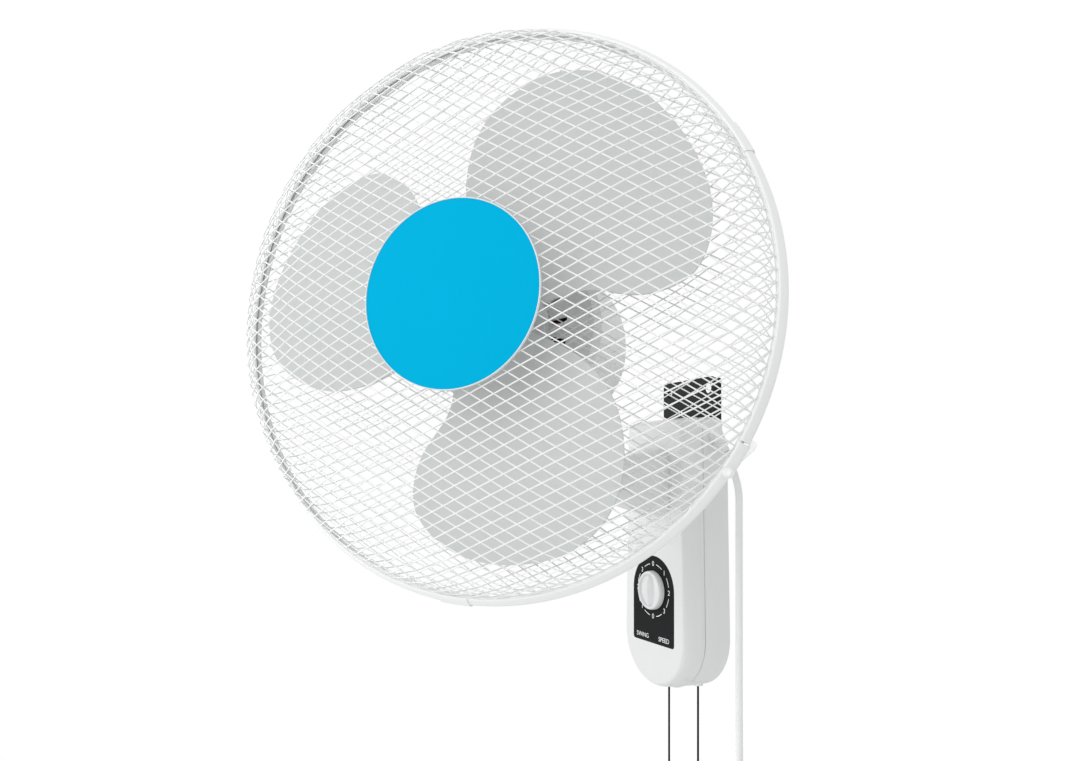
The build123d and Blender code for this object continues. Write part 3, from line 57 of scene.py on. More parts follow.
# A point of an outline or section, a point in space, faces by point numbers, and both together.
Spot = tuple[float, float]
Point = tuple[float, float, float]
Faces = list[tuple[int, ...]]
Shape = tuple[list[Point], Faces]
Tree = bpy.types.NodeTree
Socket = bpy.types.NodeSocket

# Directions of the row frame.
RIGHT = Vector((1, 0, 0))
INTO_WALL = Vector((0, 1, 0))
INTO_ROOM = Vector((0, -1, 0))
UP = Vector((0, 0, 1))

# ------------------------------------------------------------------------------------- helpers


def linear(code: str) -> tuple[float, float, float, float]:
    """Turns an sRGB hex colour into linear RGBA.

    Args:
        code: Six hex digits, with or without a leading #.

    Returns:
        The linear colour, with alpha 1.
    """
    digits = code.lstrip("#")
    values = [int(digits[i : i + 2], 16) / 255 for i in (0, 2, 4)]
    channels = [v / 12.92 if v <= 0.04045 else ((v + 0.055) / 1.055) ** 2.4 for v in values]
    return (channels[0], channels[1], channels[2], 1.0)


def add_node(
    tree: Tree,
    kind: str,
    settings: dict[str, Any] | None = None,
    inputs: dict[str | int, Any] | None = None,
) -> bpy.types.Node:
    """Adds one shader node with its settings, values and links.

    Args:
        tree: The node tree that gets it.
        kind: The node's type name.
        settings: Attributes to set on the node.
        inputs: A value or an output socket for each input, by name or number.

    Returns:
        The new node.
    """
    node = tree.nodes.new(kind)
    for name, value in (settings or {}).items():
        setattr(node, name, value)
    for name, value in (inputs or {}).items():
        if isinstance(value, Socket):
            tree.links.new(value, node.inputs[name])
        else:
            node.inputs[name].default_value = value
    return node


def grain_scale(size_mm: float) -> float:
    """The Scale of a noise whose features are this many millimetres across."""
    return 1.0 / (size_mm * MM)


# ------------------------------------------------------------------------------------ finishes


@dataclass(frozen=True)
class Finish:
    """A finish: what the surface is made of, and how it was made.

    Args:
        name: The material's name in plain words.
        colour: Its sRGB hex colour.
        roughness: Roughness of the surface.
        ior: Index of refraction; None on a metal, which keeps the default.
        metallic: 1 on a bare metal.
        grain_mm: Size of its fine grain, which is drawn coarser than the real one so that it shows.
        grain_depth_mm: Depth of that grain, or of the lines that a subclass draws.
        cloud_mm: Size of the slow changes of tone across it.
        cloud: How far the tone changes, as a share of the colour.
        smudge_mm: Size of the faint smudges from handling.
        smudge: How far they change the roughness, up and down.
        coat: Weight of a clear coat.
        coat_roughness: Roughness of that coat.
        gloss: Strength of its mirror part; 0.5 is an ordinary plastic.
    """

    name: str
    colour: str
    roughness: float = 0.4
    ior: float | None = 1.5
    metallic: float = 0.0
    grain_mm: float = 0.8
    grain_depth_mm: float = 0.01
    cloud_mm: float = 60.0
    cloud: float = 0.03
    smudge_mm: float = 25.0
    smudge: float = 0.05
    coat: float = 0.0
    coat_roughness: float = 0.08
    gloss: float = 0.5

    def build(self) -> bpy.types.Material:
        """Makes the material, or returns the one made before.

        Returns:
            The finished material.
        """
        found = bpy.data.materials.get(self.name)
        if found is not None:
            return found
        material = bpy.data.materials.new(self.name)
        material.use_nodes = True
        tree = material.node_tree
        tree.nodes.clear()
        place = add_node(tree, "ShaderNodeTexCoord").outputs["Object"]
        shader = add_node(
            tree,
            "ShaderNodeBsdfPrincipled",
            inputs={
                "Base Color": self.tone(tree, place),
                "Roughness": self.polish(tree, place),
                "Normal": self.relief(tree, place),
                "Metallic": self.metallic,
                "Coat Weight": self.coat,
                "Coat Roughness": self.coat_roughness,
                "Specular IOR Level": self.gloss,
            },
        )
        if self.ior is not None:
            shader.inputs["IOR"].default_value = self.ior
        add_node(tree, "ShaderNodeOutputMaterial", inputs={"Surface": shader.outputs["BSDF"]})
        return material

    def tone(self, tree: Tree, place: Socket) -> Socket:
        """Makes a colour that drifts a little over the piece, as a moulding or a paint does.

        Args:
            tree: The material's node tree.
            place: The point of the piece.

        Returns:
            The colour.
        """
        cloud = add_node(
            tree,
            "ShaderNodeTexNoise",
            inputs={"Vector": place, "Scale": grain_scale(self.cloud_mm), "Detail": 3.0},
        )
        base = linear(self.colour)
        low = tuple(c * (1 - self.cloud) for c in base[:3]) + (1.0,)
        high = tuple(min(1.0, c * (1 + self.cloud)) for c in base[:3]) + (1.0,)
        # Inputs 6 and 7 are the two colours of a Mix node, and output 2 is the mixed one.
        mix = add_node(
            tree,
            "ShaderNodeMix",
            {"data_type": "RGBA"},
            {"Factor": cloud.outputs["Fac"], 6: low, 7: high},
        )
        return mix.outputs[2]

    def polish(self, tree: Tree, place: Socket) -> Socket:
        """Makes a roughness with faint smudges from handling.

        Args:
            tree: The material's node tree.
            place: The point of the piece.

        Returns:
            The roughness.
        """
        smudges = add_node(
            tree,
            "ShaderNodeTexNoise",
            inputs={"Vector": place, "Scale": grain_scale(self.smudge_mm), "Detail": 4.0},
        )
        spread = add_node(
            tree,
            "ShaderNodeMapRange",
            inputs={
                "Value": smudges.outputs["Fac"],
                "To Min": max(0.02, self.roughness - self.smudge),
                "To Max": min(1.0, self.roughness + self.smudge),
            },
        )
        return spread.outputs["Result"]

    def relief(self, tree: Tree, place: Socket) -> Socket:
        """Makes the bump of the surface from its pattern.

        Args:
            tree: The material's node tree.
            place: The point of the piece.

        Returns:
            The bumped normal.
        """
        bump = add_node(
            tree,
            "ShaderNodeBump",
            inputs={"Height": self.pattern(tree, place), "Distance": self.grain_depth_mm * MM},
        )
        return bump.outputs["Normal"]

    def pattern(self, tree: Tree, place: Socket) -> Socket:
        """Makes the height of a fine, even grain.

        Args:
            tree: The material's node tree.
            place: The point of the piece.

        Returns:
            The height.
        """
        grain = add_node(
            tree,
            "ShaderNodeTexNoise",
            inputs={"Vector": place, "Scale": grain_scale(self.grain_mm), "Detail": 2.0},
        )
        return grain.outputs["Fac"]


@dataclass(frozen=True)
class BrushedFinish(Finish):
    """A metal with lines from rolling, turning or brushing along one axis.

    Args:
        line_mm: Distance between the lines, coarser than the real ones so that they show.
        stretch: How many times longer than wide a line is.
    """

    line_mm: float = 0.25
    stretch: float = 25.0

    def pattern(self, tree: Tree, place: Socket) -> Socket:
        """Makes the height of long fine lines.

        Args:
            tree: The material's node tree.
            place: The point of the piece.

        Returns:
            The height.
        """
        spread = add_node(
            tree,
            "ShaderNodeMapping",
            inputs={"Vector": place, "Scale": (1.0, 1.0, 1.0 / self.stretch)},
        )
        lines = add_node(
            tree,
            "ShaderNodeTexNoise",
            inputs={"Vector": spread.outputs["Vector"], "Scale": grain_scale(self.line_mm)},
        )
        return lines.outputs["Fac"]


# A band of a Wave texture is about a third of its scale unit wide. This many sheets or strands to
# the unit draw a band for every two to four of them: coarser than the real ones, so that it shows.
WAVE_UNIT = 6.0


@dataclass(frozen=True)
class StackedFinish(Finish):
    """Punched sheets stacked into a core: fine lines of sheet edges across the axis.

    Args:
        sheet_mm: Thickness of a sheet.
    """

    sheet_mm: float = 0.5

    def pattern(self, tree: Tree, place: Socket) -> Socket:
        """Makes the height of the sheet edges.

        Args:
            tree: The material's node tree.
            place: The point of the piece.

        Returns:
            The height.
        """
        lines = add_node(
            tree,
            "ShaderNodeTexWave",
            {"wave_type": "BANDS", "bands_direction": "DIAGONAL"},
            {"Vector": place, "Scale": grain_scale(self.sheet_mm * WAVE_UNIT)},
        )
        return lines.outputs["Fac"]


@dataclass(frozen=True)
class BraidFinish(Finish):
    """A round braid: two sets of strands that cross along the cord.

    Args:
        strand_mm: Width of a strand.
        waver: How far the strands stray from a straight run.
    """

    strand_mm: float = 0.7
    waver: float = 1.5

    def pattern(self, tree: Tree, place: Socket) -> Socket:
        """Makes the height of the crossing strands.

        Args:
            tree: The material's node tree.
            place: The point of the piece.

        Returns:
            The height.
        """
        scale = grain_scale(self.strand_mm * WAVE_UNIT)
        strands = [
            add_node(
                tree,
                "ShaderNodeTexWave",
                {"wave_type": "BANDS", "bands_direction": direction},
                {"Vector": place, "Scale": scale, "Distortion": self.waver},
            ).outputs["Fac"]
            for direction in ("X", "Z")
        ]
        both = add_node(
            tree, "ShaderNodeMath", {"operation": "MAXIMUM"}, {0: strands[0], 1: strands[1]}
        )
        return both.outputs["Value"]


# White ABS mouldings: bright and lightly glossy, with soft highlights along their edges.
WHITE_ABS = Finish("white_ABS_moulded", "#E1E3E3", 0.32, 1.52, coat=0.15)
# White ABS of the guard band: the base's plastic drawn a little whiter, as painted light that keeps
# the thin, shaded band bright.
BAND_ABS_PAINTED_LIGHT = Finish("bright_ABS_band_moulded", "#F0F2F2", 0.34, 1.52)
# Plain ABS inside the housings: a warmer white with a duller tool finish.
INNER_ABS = Finish("plain_ABS_moulded", "#DADAD4", 0.55, 1.52, grain_depth_mm=0.03)
# Grey ABS of the motor housing, drawn pale: painted light that lifts the shadow which the blades
# and the badge cast on it. Its spark-eroded grain dulls the highlights.
MOTOR_ABS_PAINTED_LIGHT = Finish("grey_ABS_textured", "#E3E5E4", 0.5, 1.52, grain_depth_mm=0.03)
# Grey polypropylene of the rotor: smooth and even, with broad soft highlights.
BLADE_PP = Finish("grey_polypropylene_moulded", "#CBCECD", 0.45, 1.49, cloud=0.02)
# Welded wire with a white powder coat: satin, with the slight orange peel of baked powder.
POWDER_WIRE = Finish("white_powder_coated_wire", "#F1F2F2", 0.35, 1.5, grain_mm=1.5)
# Blue badge: an even, strong colour with a matt printed face that hardly mirrors the room.
BADGE_BLUE = Finish("blue_ABS_printed", "#00AAD5", 0.75, 1.1, cloud=0.015)
# Black panel foil: very even and dull, and it hardly mirrors the room.
PANEL_BLACK = Finish("black_polycarbonate_foil", "#1E1F20", 0.75, 1.2, grain_mm=0.5)
# White screen ink of the dial scale: dull and flat.
SCALE_INK = Finish("white_screen_ink", "#F2F2F0", 0.6, 1.5, grain_depth_mm=0.005)
# Pressed sheet steel with black stoving enamel: satin, slightly wavy.
BRACKET_ENAMEL = Finish(
    "black_stoving_enamel", "#202223", 0.6, 1.25, grain_mm=2.5, grain_depth_mm=0.03
)
# PVC sheath of the supply cord: soft white, satin, with an even, slightly waxy skin.
CORD_PVC = Finish("white_PVC_sheath", "#E9EBEA", 0.45, 1.53, grain_mm=1.2, grain_depth_mm=0.02)
# Black nylon braid of the pull cords: matt, with crossing strands and no mirror part, so that
# the thin cords stay dark in pale surroundings.
CORD_BRAID = BraidFinish(
    "black_nylon_braid", "#0A0A0B", 0.9, 1.1, grain_depth_mm=0.05, gloss=0.0
)
# Zinc-plated steel screws, nuts and shafts: bright with fine turning lines.
ZINC_STEEL = BrushedFinish("zinc_plated_steel_turned", "#C9CBCC", 0.28, None, metallic=1.0)
# Electrical sheet, punched and stacked: dark, dull, with sheet edges in fine lines.
CORE_STEEL = StackedFinish(
    "electrical_steel_stacked", "#5E6165", 0.45, None, metallic=1.0, grain_depth_mm=0.05
)
# Enamelled copper wire: warm and glossy under its varnish.
COPPER = BrushedFinish(
    "enamelled_copper_wound", "#B8683A", 0.3, None, metallic=1.0, line_mm=0.6, coat=0.5
)
# Sintered bronze bushes, soaked in oil: dull gold with a porous grain.
BRONZE = Finish("sintered_bronze", "#A98751", 0.5, None, metallic=1.0, grain_depth_mm=0.02)
# Plated brass plug pins: pale gold, drawn along their length.
PIN_BRASS = BrushedFinish("plated_brass_drawn", "#D5C79A", 0.25, None, metallic=1.0)
# Black nylon tie: moulded, satin.
TIE_NYLON = Finish("black_nylon_moulded", "#232426", 0.5, 1.53)
# Pale floor paint: nearly matt, rolled on.
FLOOR_PAINT = Finish("pale_floor_paint", "#F0F0F0", 0.8, 1.5, grain_mm=3.0, grain_depth_mm=0.05)

NODE_FINISHES: dict[str, Finish] = {
    name: finish
    for finish, names in (
        (
            WHITE_ABS,
            "base_front_cover base_rear_cover speed_knob speed_pull_bell swing_pull_bell"
            " support_arm tilt_knuckle rear_grille_nut guard_ring ring_clips ring_clamp badge_clip",
        ),
        (
            INNER_ABS,
            "speed_switch swing_switch speed_pull_plunger swing_pull_plunger terminal_block"
            " swing_washer",
        ),
        (MOTOR_ABS_PAINTED_LIGHT, "motor_rear_housing motor_front_housing"),
        (BLADE_PP, "fan_blade blade_nut"),
        (POWDER_WIRE, "front_grille rear_grille"),
        (BADGE_BLUE, "badge"),
        (PANEL_BLACK, "control_panel"),
        (BRACKET_ENAMEL, "wall_bracket"),
        (CORD_PVC, "cord_grip power_cord power_cord_coil power_cord_tail plug_body"),
        (CORD_BRAID, "speed_pull_cord swing_pull_cord"),
        (
            ZINC_STEEL,
            "cover_screws switch_nut switch_shaft cord_eyelets arm_screws tilt_bolt tilt_nut"
            " post_ring swing_crank swing_link swing_motor housing_screws stator_screws end_shield"
            " motor_shaft drive_pin ring_screw",
        ),
        (CORE_STEEL, "stator_core rotor_core"),
        (COPPER, "stator_windings"),
        (BRONZE, "front_bearing rear_bearing"),
        (PIN_BRASS, "plug_pins"),
        (TIE_NYLON, "coil_tie"),
    )
    for name in names.split()
}


# ---------------------------------------------------------------------------- places and shapes


@dataclass(frozen=True)
class Place:
    """A right-handed place in millimetres: X right, Y up and Z towards the viewer.

    Args:
        origin: Its origin in the row frame, in metres.
        right: Direction of its X.
        up: Direction of its Y.
        forward: Direction of its Z.
    """

    origin: Vector
    right: Vector
    up: Vector
    forward: Vector

    def point(self, x: float, y: float, z: float) -> Vector:
        """The row-frame point, in metres, of a local point in millimetres."""
        return self.origin + (self.right * x + self.up * y + self.forward * z) * MM


def joint(name: str) -> dict[str, Any]:
    """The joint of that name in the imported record."""
    return next(j for j in frame["record"]["behaviour"]["joints"] if j["name"] == name)


def head_place() -> Place:
    """The place of the fan head at rest: the motor axis is Z and the swing axis is Y.

    Returns:
        The place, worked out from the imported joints.
    """
    forward = Vector(joint("blade_spin")["axis"]).normalized()
    up = Vector(joint("swing")["axis"]).normalized()
    return Place(Vector(joint("blade_spin")["pos_m"]), up.cross(forward), up, forward)


def wall_place(x: float, depth: float, z: float) -> Place:
    """A place that faces the room, this far in front of the wall, in millimetres."""
    return Place(Vector((x, -depth, z)) * MM, RIGHT, UP, INTO_ROOM)


def upright_place(x: float, depth: float, z: float) -> Place:
    """A place whose Z points up, this far in front of the wall, in millimetres."""
    return Place(Vector((x, -depth, z)) * MM, RIGHT, INTO_WALL, UP)


def settle(piece: bpy.types.Object, finish: Finish, body: str) -> bpy.types.Object:
    """Links a piece into the scene, dresses it and lets it ride on its body.

    Args:
        piece: The piece.
        finish: Its finish.
        body: The body that it rides on.

    Returns:
        The piece.
    """
    bpy.context.scene.collection.objects.link(piece)
    piece.data.materials.append(finish.build())
    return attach(piece, body)


def add_mesh(
    name: str, place: Place, shape: Shape, finish: Finish, body: str
) -> bpy.types.Object:
    """Makes a mesh piece that rides on a body.

    Args:
        name: The piece's name.
        place: Where its local millimetres stand.
        shape: Its points and faces.
        finish: Its finish.
        body: The body that it rides on.

    Returns:
        The piece.
    """
    points, faces = shape
    mesh = bpy.data.meshes.new(name)
    mesh.from_pydata([place.point(*p) for p in points], [], faces)
    mesh.validate()
    work = bmesh.new()
    work.from_mesh(mesh)
    bmesh.ops.recalc_face_normals(work, faces=work.faces)
    work.to_mesh(mesh)
    work.free()
    mesh.polygons.foreach_set("use_smooth", [True] * len(mesh.polygons))
    mesh.set_sharp_from_angle(angle=math.radians(SHARP_DEG))
    return settle(bpy.data.objects.new(name, mesh), finish, body)


def add_wires(
    name: str,
    place: Place,
    lines: Iterable[Sequence[Point]],
    radius: float,
    finish: Finish,
    body: str,
    closed: bool = False,
) -> bpy.types.Object:
    """Makes one piece of round wires.

    Args:
        name: The piece's name.
        place: Where its local millimetres stand.
        lines: Centre line of each wire.
        radius: Radius of the wires.
        finish: Its finish.
        body: The body that it rides on.
        closed: Whether each wire closes on itself.

    Returns:
        The piece.
    """
    curve = bpy.data.curves.new(name, "CURVE")
    curve.dimensions = "3D"
    curve.bevel_depth = radius * MM
    curve.bevel_resolution = 1
    curve.use_fill_caps = True
    for line in lines:
        spline = curve.splines.new("POLY")
        spline.points.add(len(line) - 1)
        for point, spot in zip(spline.points, line):
            point.co = (*place.point(*spot), 1.0)
        spline.use_smooth = True
        spline.use_cyclic_u = closed
    return settle(bpy.data.objects.new(name, curve), finish, body)


def add_cord(
    name: str, route: Sequence[Point], diameter: float, finish: Finish, body: str
) -> bpy.types.Object:
    """Makes a round cord along a smooth spline.

    Args:
        name: The cord's name.
        route: Control points of its centre line.
        diameter: Its diameter.
        finish: Its finish.
        body: The body that it rides on.

    Returns:
        The cord.
    """
    curve = bpy.data.curves.new(name, "CURVE")
    curve.dimensions = "3D"
    curve.bevel_depth = diameter / 2 * MM
    curve.bevel_resolution = 4
    curve.resolution_u = 8
    curve.use_fill_caps = True
    spline = curve.splines.new("NURBS")
    spline.points.add(len(route) - 1)
    for point, spot in zip(spline.points, route):
        point.co = (*(Vector(spot) * MM), 1.0)
    spline.order_u = 3
    spline.use_endpoint_u = True
    return settle(bpy.data.objects.new(name, curve), finish, body)


def lathe(
    profile: Sequence[Spot], steps: int = 128, start_deg: float = 0.0, sweep_deg: float = 360.0
) -> Shape:
    """Turns a closed outline of (radius, height) points about Z, all the way or part of it.

    Args:
        profile: The outline.
        steps: Steps round the axis.
        start_deg: Where a part turn starts.
        sweep_deg: How far it goes; 360 closes it.

    Returns:
        Points and faces.
    """
    whole = sweep_deg >= 360.0
    rows = steps if whole else steps + 1
    turns = [math.radians(start_deg + sweep_deg * i / steps) for i in range(rows)]
    points = [(r * math.cos(a), r * math.sin(a), z) for a in turns for r, z in profile]
    count = len(profile)
    faces: Faces = []
    for i in range(steps):
        j = (i + 1) % rows
        for k in range(count):
            m = (k + 1) % count
            faces.append((i * count + k, j * count + k, j * count + m, i * count + m))
    if not whole:
        faces.append(tuple(range(count)))
        faces.append(tuple(steps * count + k for k in range(count)))
    return points, faces


def joined(shapes: Iterable[Shape]) -> Shape:
    """Puts several shapes together as one.

    Args:
        shapes: The shapes.

    Returns:
        Their points and faces.
    """
    points: list[Point] = []
    faces: Faces = []
    for more, sides in shapes:
        faces += [tuple(i + len(points) for i in side) for side in sides]
        points += more
    return points, faces


def slab(outline: Sequence[Spot], low: float, high: float) -> Shape:
    """Makes a flat plate: an outline between two heights.

    Args:
        outline: The plate's outline.
        low: Height of its lower face.
        high: Height of its upper face.

    Returns:
        Points and faces.
    """
    count = len(outline)
    points = [(x, y, z) for z in (low, high) for x, y in outline]
    sides = [(k, (k + 1) % count, count + (k + 1) % count, count + k) for k in range(count)]
    return points, [tuple(range(count)), tuple(range(count, 2 * count)), *sides]


def rounded(corners: Sequence[Spot], radius: float, steps: int = 4) -> list[Spot]:
    """Rounds every corner of a closed outline.

    Args:
        corners: The outline's corners.
        radius: Radius of the rounding, less where a side is too short for it.
        steps: Points on each round.

    Returns:
        The rounded outline.
    """
    longest_share = 0.45
    outline: list[Spot] = []
    count = len(corners)
    for i, corner in enumerate(corners):
        here = Vector(corner)
        before, after = Vector(corners[i - 1]) - here, Vector(corners[(i + 1) % count]) - here
        reach = min(radius, before.length * longest_share, after.length * longest_share)
        start, end = here + before.normalized() * reach, here + after.normalized() * reach
        for k in range(steps + 1):
            t = k / steps
            spot = start * (1 - t) ** 2 + here * 2 * t * (1 - t) + end * t**2
            outline.append((spot.x, spot.y))
    return outline


# -------------------------------------------------------------------------------------- guard


@dataclass
class NetGuard:
    """Both nets of the guard: crossed wires pressed to a dome, with a rim and a centre ring.

    Args:
        place: The head's place; the outlines below are (radius, height) along its Z.
        long_diagonal: Long diagonal of one diamond of the net.
        short_diagonal: Short diagonal of it.
        wire: Diameter of the net's wire.
        rim_wire: Diameter of the wire round each net.
        step: Length of the straight pieces that a wire is drawn in.
        stand_off: How far each set of wires stands off the dome, as a share of the wire.
        soft: Rounding of the centre rings' corners.
        ring_steps: Steps round a rim.
        front_dome: Outline of the front net.
        rear_dome: Outline of the rear net.
        rims: Radius and height of each rim.
        plate: Section of the ring in the middle of the front net.
        collar: Section of the ring in the middle of the rear net.
    """

    place: Place
    long_diagonal: float = 18.0
    short_diagonal: float = 9.7
    wire: float = 1.05
    rim_wire: float = 3.6
    step: float = 7.0
    stand_off: float = 0.4
    soft: float = 0.8
    ring_steps: int = 120
    front_dome: tuple[Spot, ...] = (
        (56.0, 182.2),
        (100.0, 180.4),
        (140.0, 175.6),
        (185.0, 163.2),
        (203.4, 149.5),
        (208.4, 138.5),
        (211.4, 131.0),
    )
    rear_dome: tuple[Spot, ...] = (
        (29.0, 75.6),
        (74.0, 78.4),
        (140.0, 85.0),
        (182.0, 98.5),
        (205.4, 112.0),
        (211.0, 120.0),
        (212.4, 124.5),
    )
    rims: tuple[Spot, ...] = ((212.2, 130.6), (212.6, 125.0))
    plate: tuple[Spot, ...] = ((52.0, 180.4), (64.0, 180.4), (64.0, 182.9), (52.0, 182.9))
    collar: tuple[Spot, ...] = ((26.4, 72.4), (31.4, 72.4), (31.4, 77.2), (26.4, 77.2))

    def dome_point(self, dome: Sequence[Spot], reach: float) -> Spot:
        """Finds a point of the dome by its distance from the axis, measured along the dome.

        Args:
            dome: The dome's outline.
            reach: Distance along the dome.

        Returns:
            Radius and height; below the first point the dome is flat.
        """
        travelled = dome[0][0]
        if reach <= travelled:
            return reach, dome[0][1]
        for (r0, z0), (r1, z1) in zip(dome, dome[1:]):
            length = math.hypot(r1 - r0, z1 - z0)
            if reach <= travelled + length:
                t = (reach - travelled) / length
                return r0 + (r1 - r0) * t, z0 + (z1 - z0) * t
            travelled += length
        return dome[-1]

    def full_reach(self, dome: Sequence[Spot]) -> float:
        """Distance along the dome from the axis to its rim."""
        return dome[0][0] + sum(math.dist(a, b) for a, b in zip(dome, dome[1:]))

    def pressed(
        self, dome: Sequence[Spot], middle: Vector, along: Vector, span: Spot, lift: float
    ) -> list[Point]:
        """Presses one straight wire onto the dome.

        Args:
            dome: The dome's outline.
            middle: The point of the flat wire's line that is nearest the axis.
            along: Direction of that line.
            span: Where the wire starts and ends along it.
            lift: How far the wire stands off the dome.

        Returns:
            Its centre line.
        """
        start, end = span
        pieces = max(2, int((end - start) / self.step))
        line = []
        for k in range(pieces + 1):
            flat = middle + along * (start + (end - start) * k / pieces)
            radius, height = self.dome_point(dome, flat.length)
            scale = radius / max(flat.length, 1e-6)
            line.append((flat.x * scale, flat.y * scale, height + lift))
        return line

    def net_lines(self, dome: Sequence[Spot]) -> list[list[Point]]:
        """Lays the crossed wires of one net out flat, and presses them onto the dome.

        Args:
            dome: The dome's outline.

        Returns:
            The centre line of each wire.
        """
        slope = math.atan2(self.short_diagonal, self.long_diagonal)
        pitch = self.long_diagonal * math.sin(slope)
        edge = self.full_reach(dome)
        hole = dome[0][0]
        count = int(edge / pitch)
        lines: list[list[Point]] = []
        for side in (1, -1):
            along = Vector((math.cos(slope), side * math.sin(slope)))
            across = Vector((-side * math.sin(slope), math.cos(slope)))
            lift = side * self.wire * self.stand_off
            for number in range(-count, count + 1):
                offset = number * pitch
                half = math.sqrt(max(0.0, edge**2 - offset**2))
                if half < self.step:
                    continue
                inner = math.sqrt(hole**2 - offset**2) if abs(offset) < hole else 0.0
                spans = [(-half, -inner), (inner, half)] if inner else [(-half, half)]
                for span in spans:
                    lines.append(self.pressed(dome, across * offset, along, span, lift))
        return lines

    def ring_line(self, radius: float, height: float) -> list[Point]:
        """A round line about the motor axis."""
        turns = [2 * math.pi * k / self.ring_steps for k in range(self.ring_steps)]
        return [(radius * math.cos(a), radius * math.sin(a), height) for a in turns]

    def build(self) -> list[bpy.types.Object]:
        """Makes the nets, their rims and their centre rings.

        Returns:
            The pieces.
        """
        front = add_wires(
            "front_net", self.place, self.net_lines(self.front_dome), self.wire / 2,
            POWDER_WIRE, "head",
        )
        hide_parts("front_grille")
        rear = add_wires(
            "rear_net", self.place, self.net_lines(self.rear_dome), self.wire / 2,
            POWDER_WIRE, "head",
        )
        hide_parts("rear_grille")
        rims = add_wires(
            "net_rims", self.place, [self.ring_line(*rim) for rim in self.rims],
            self.rim_wire / 2, POWDER_WIRE, "head", closed=True,
        )
        plate, collar = (
            add_mesh(
                name, self.place, lathe(rounded(section, self.soft)),
                POWDER_WIRE, "head",
            )
            for name, section in (("front_net_plate", self.plate), ("rear_net_collar", self.collar))
        )
        return [front, rear, rims, plate, collar]


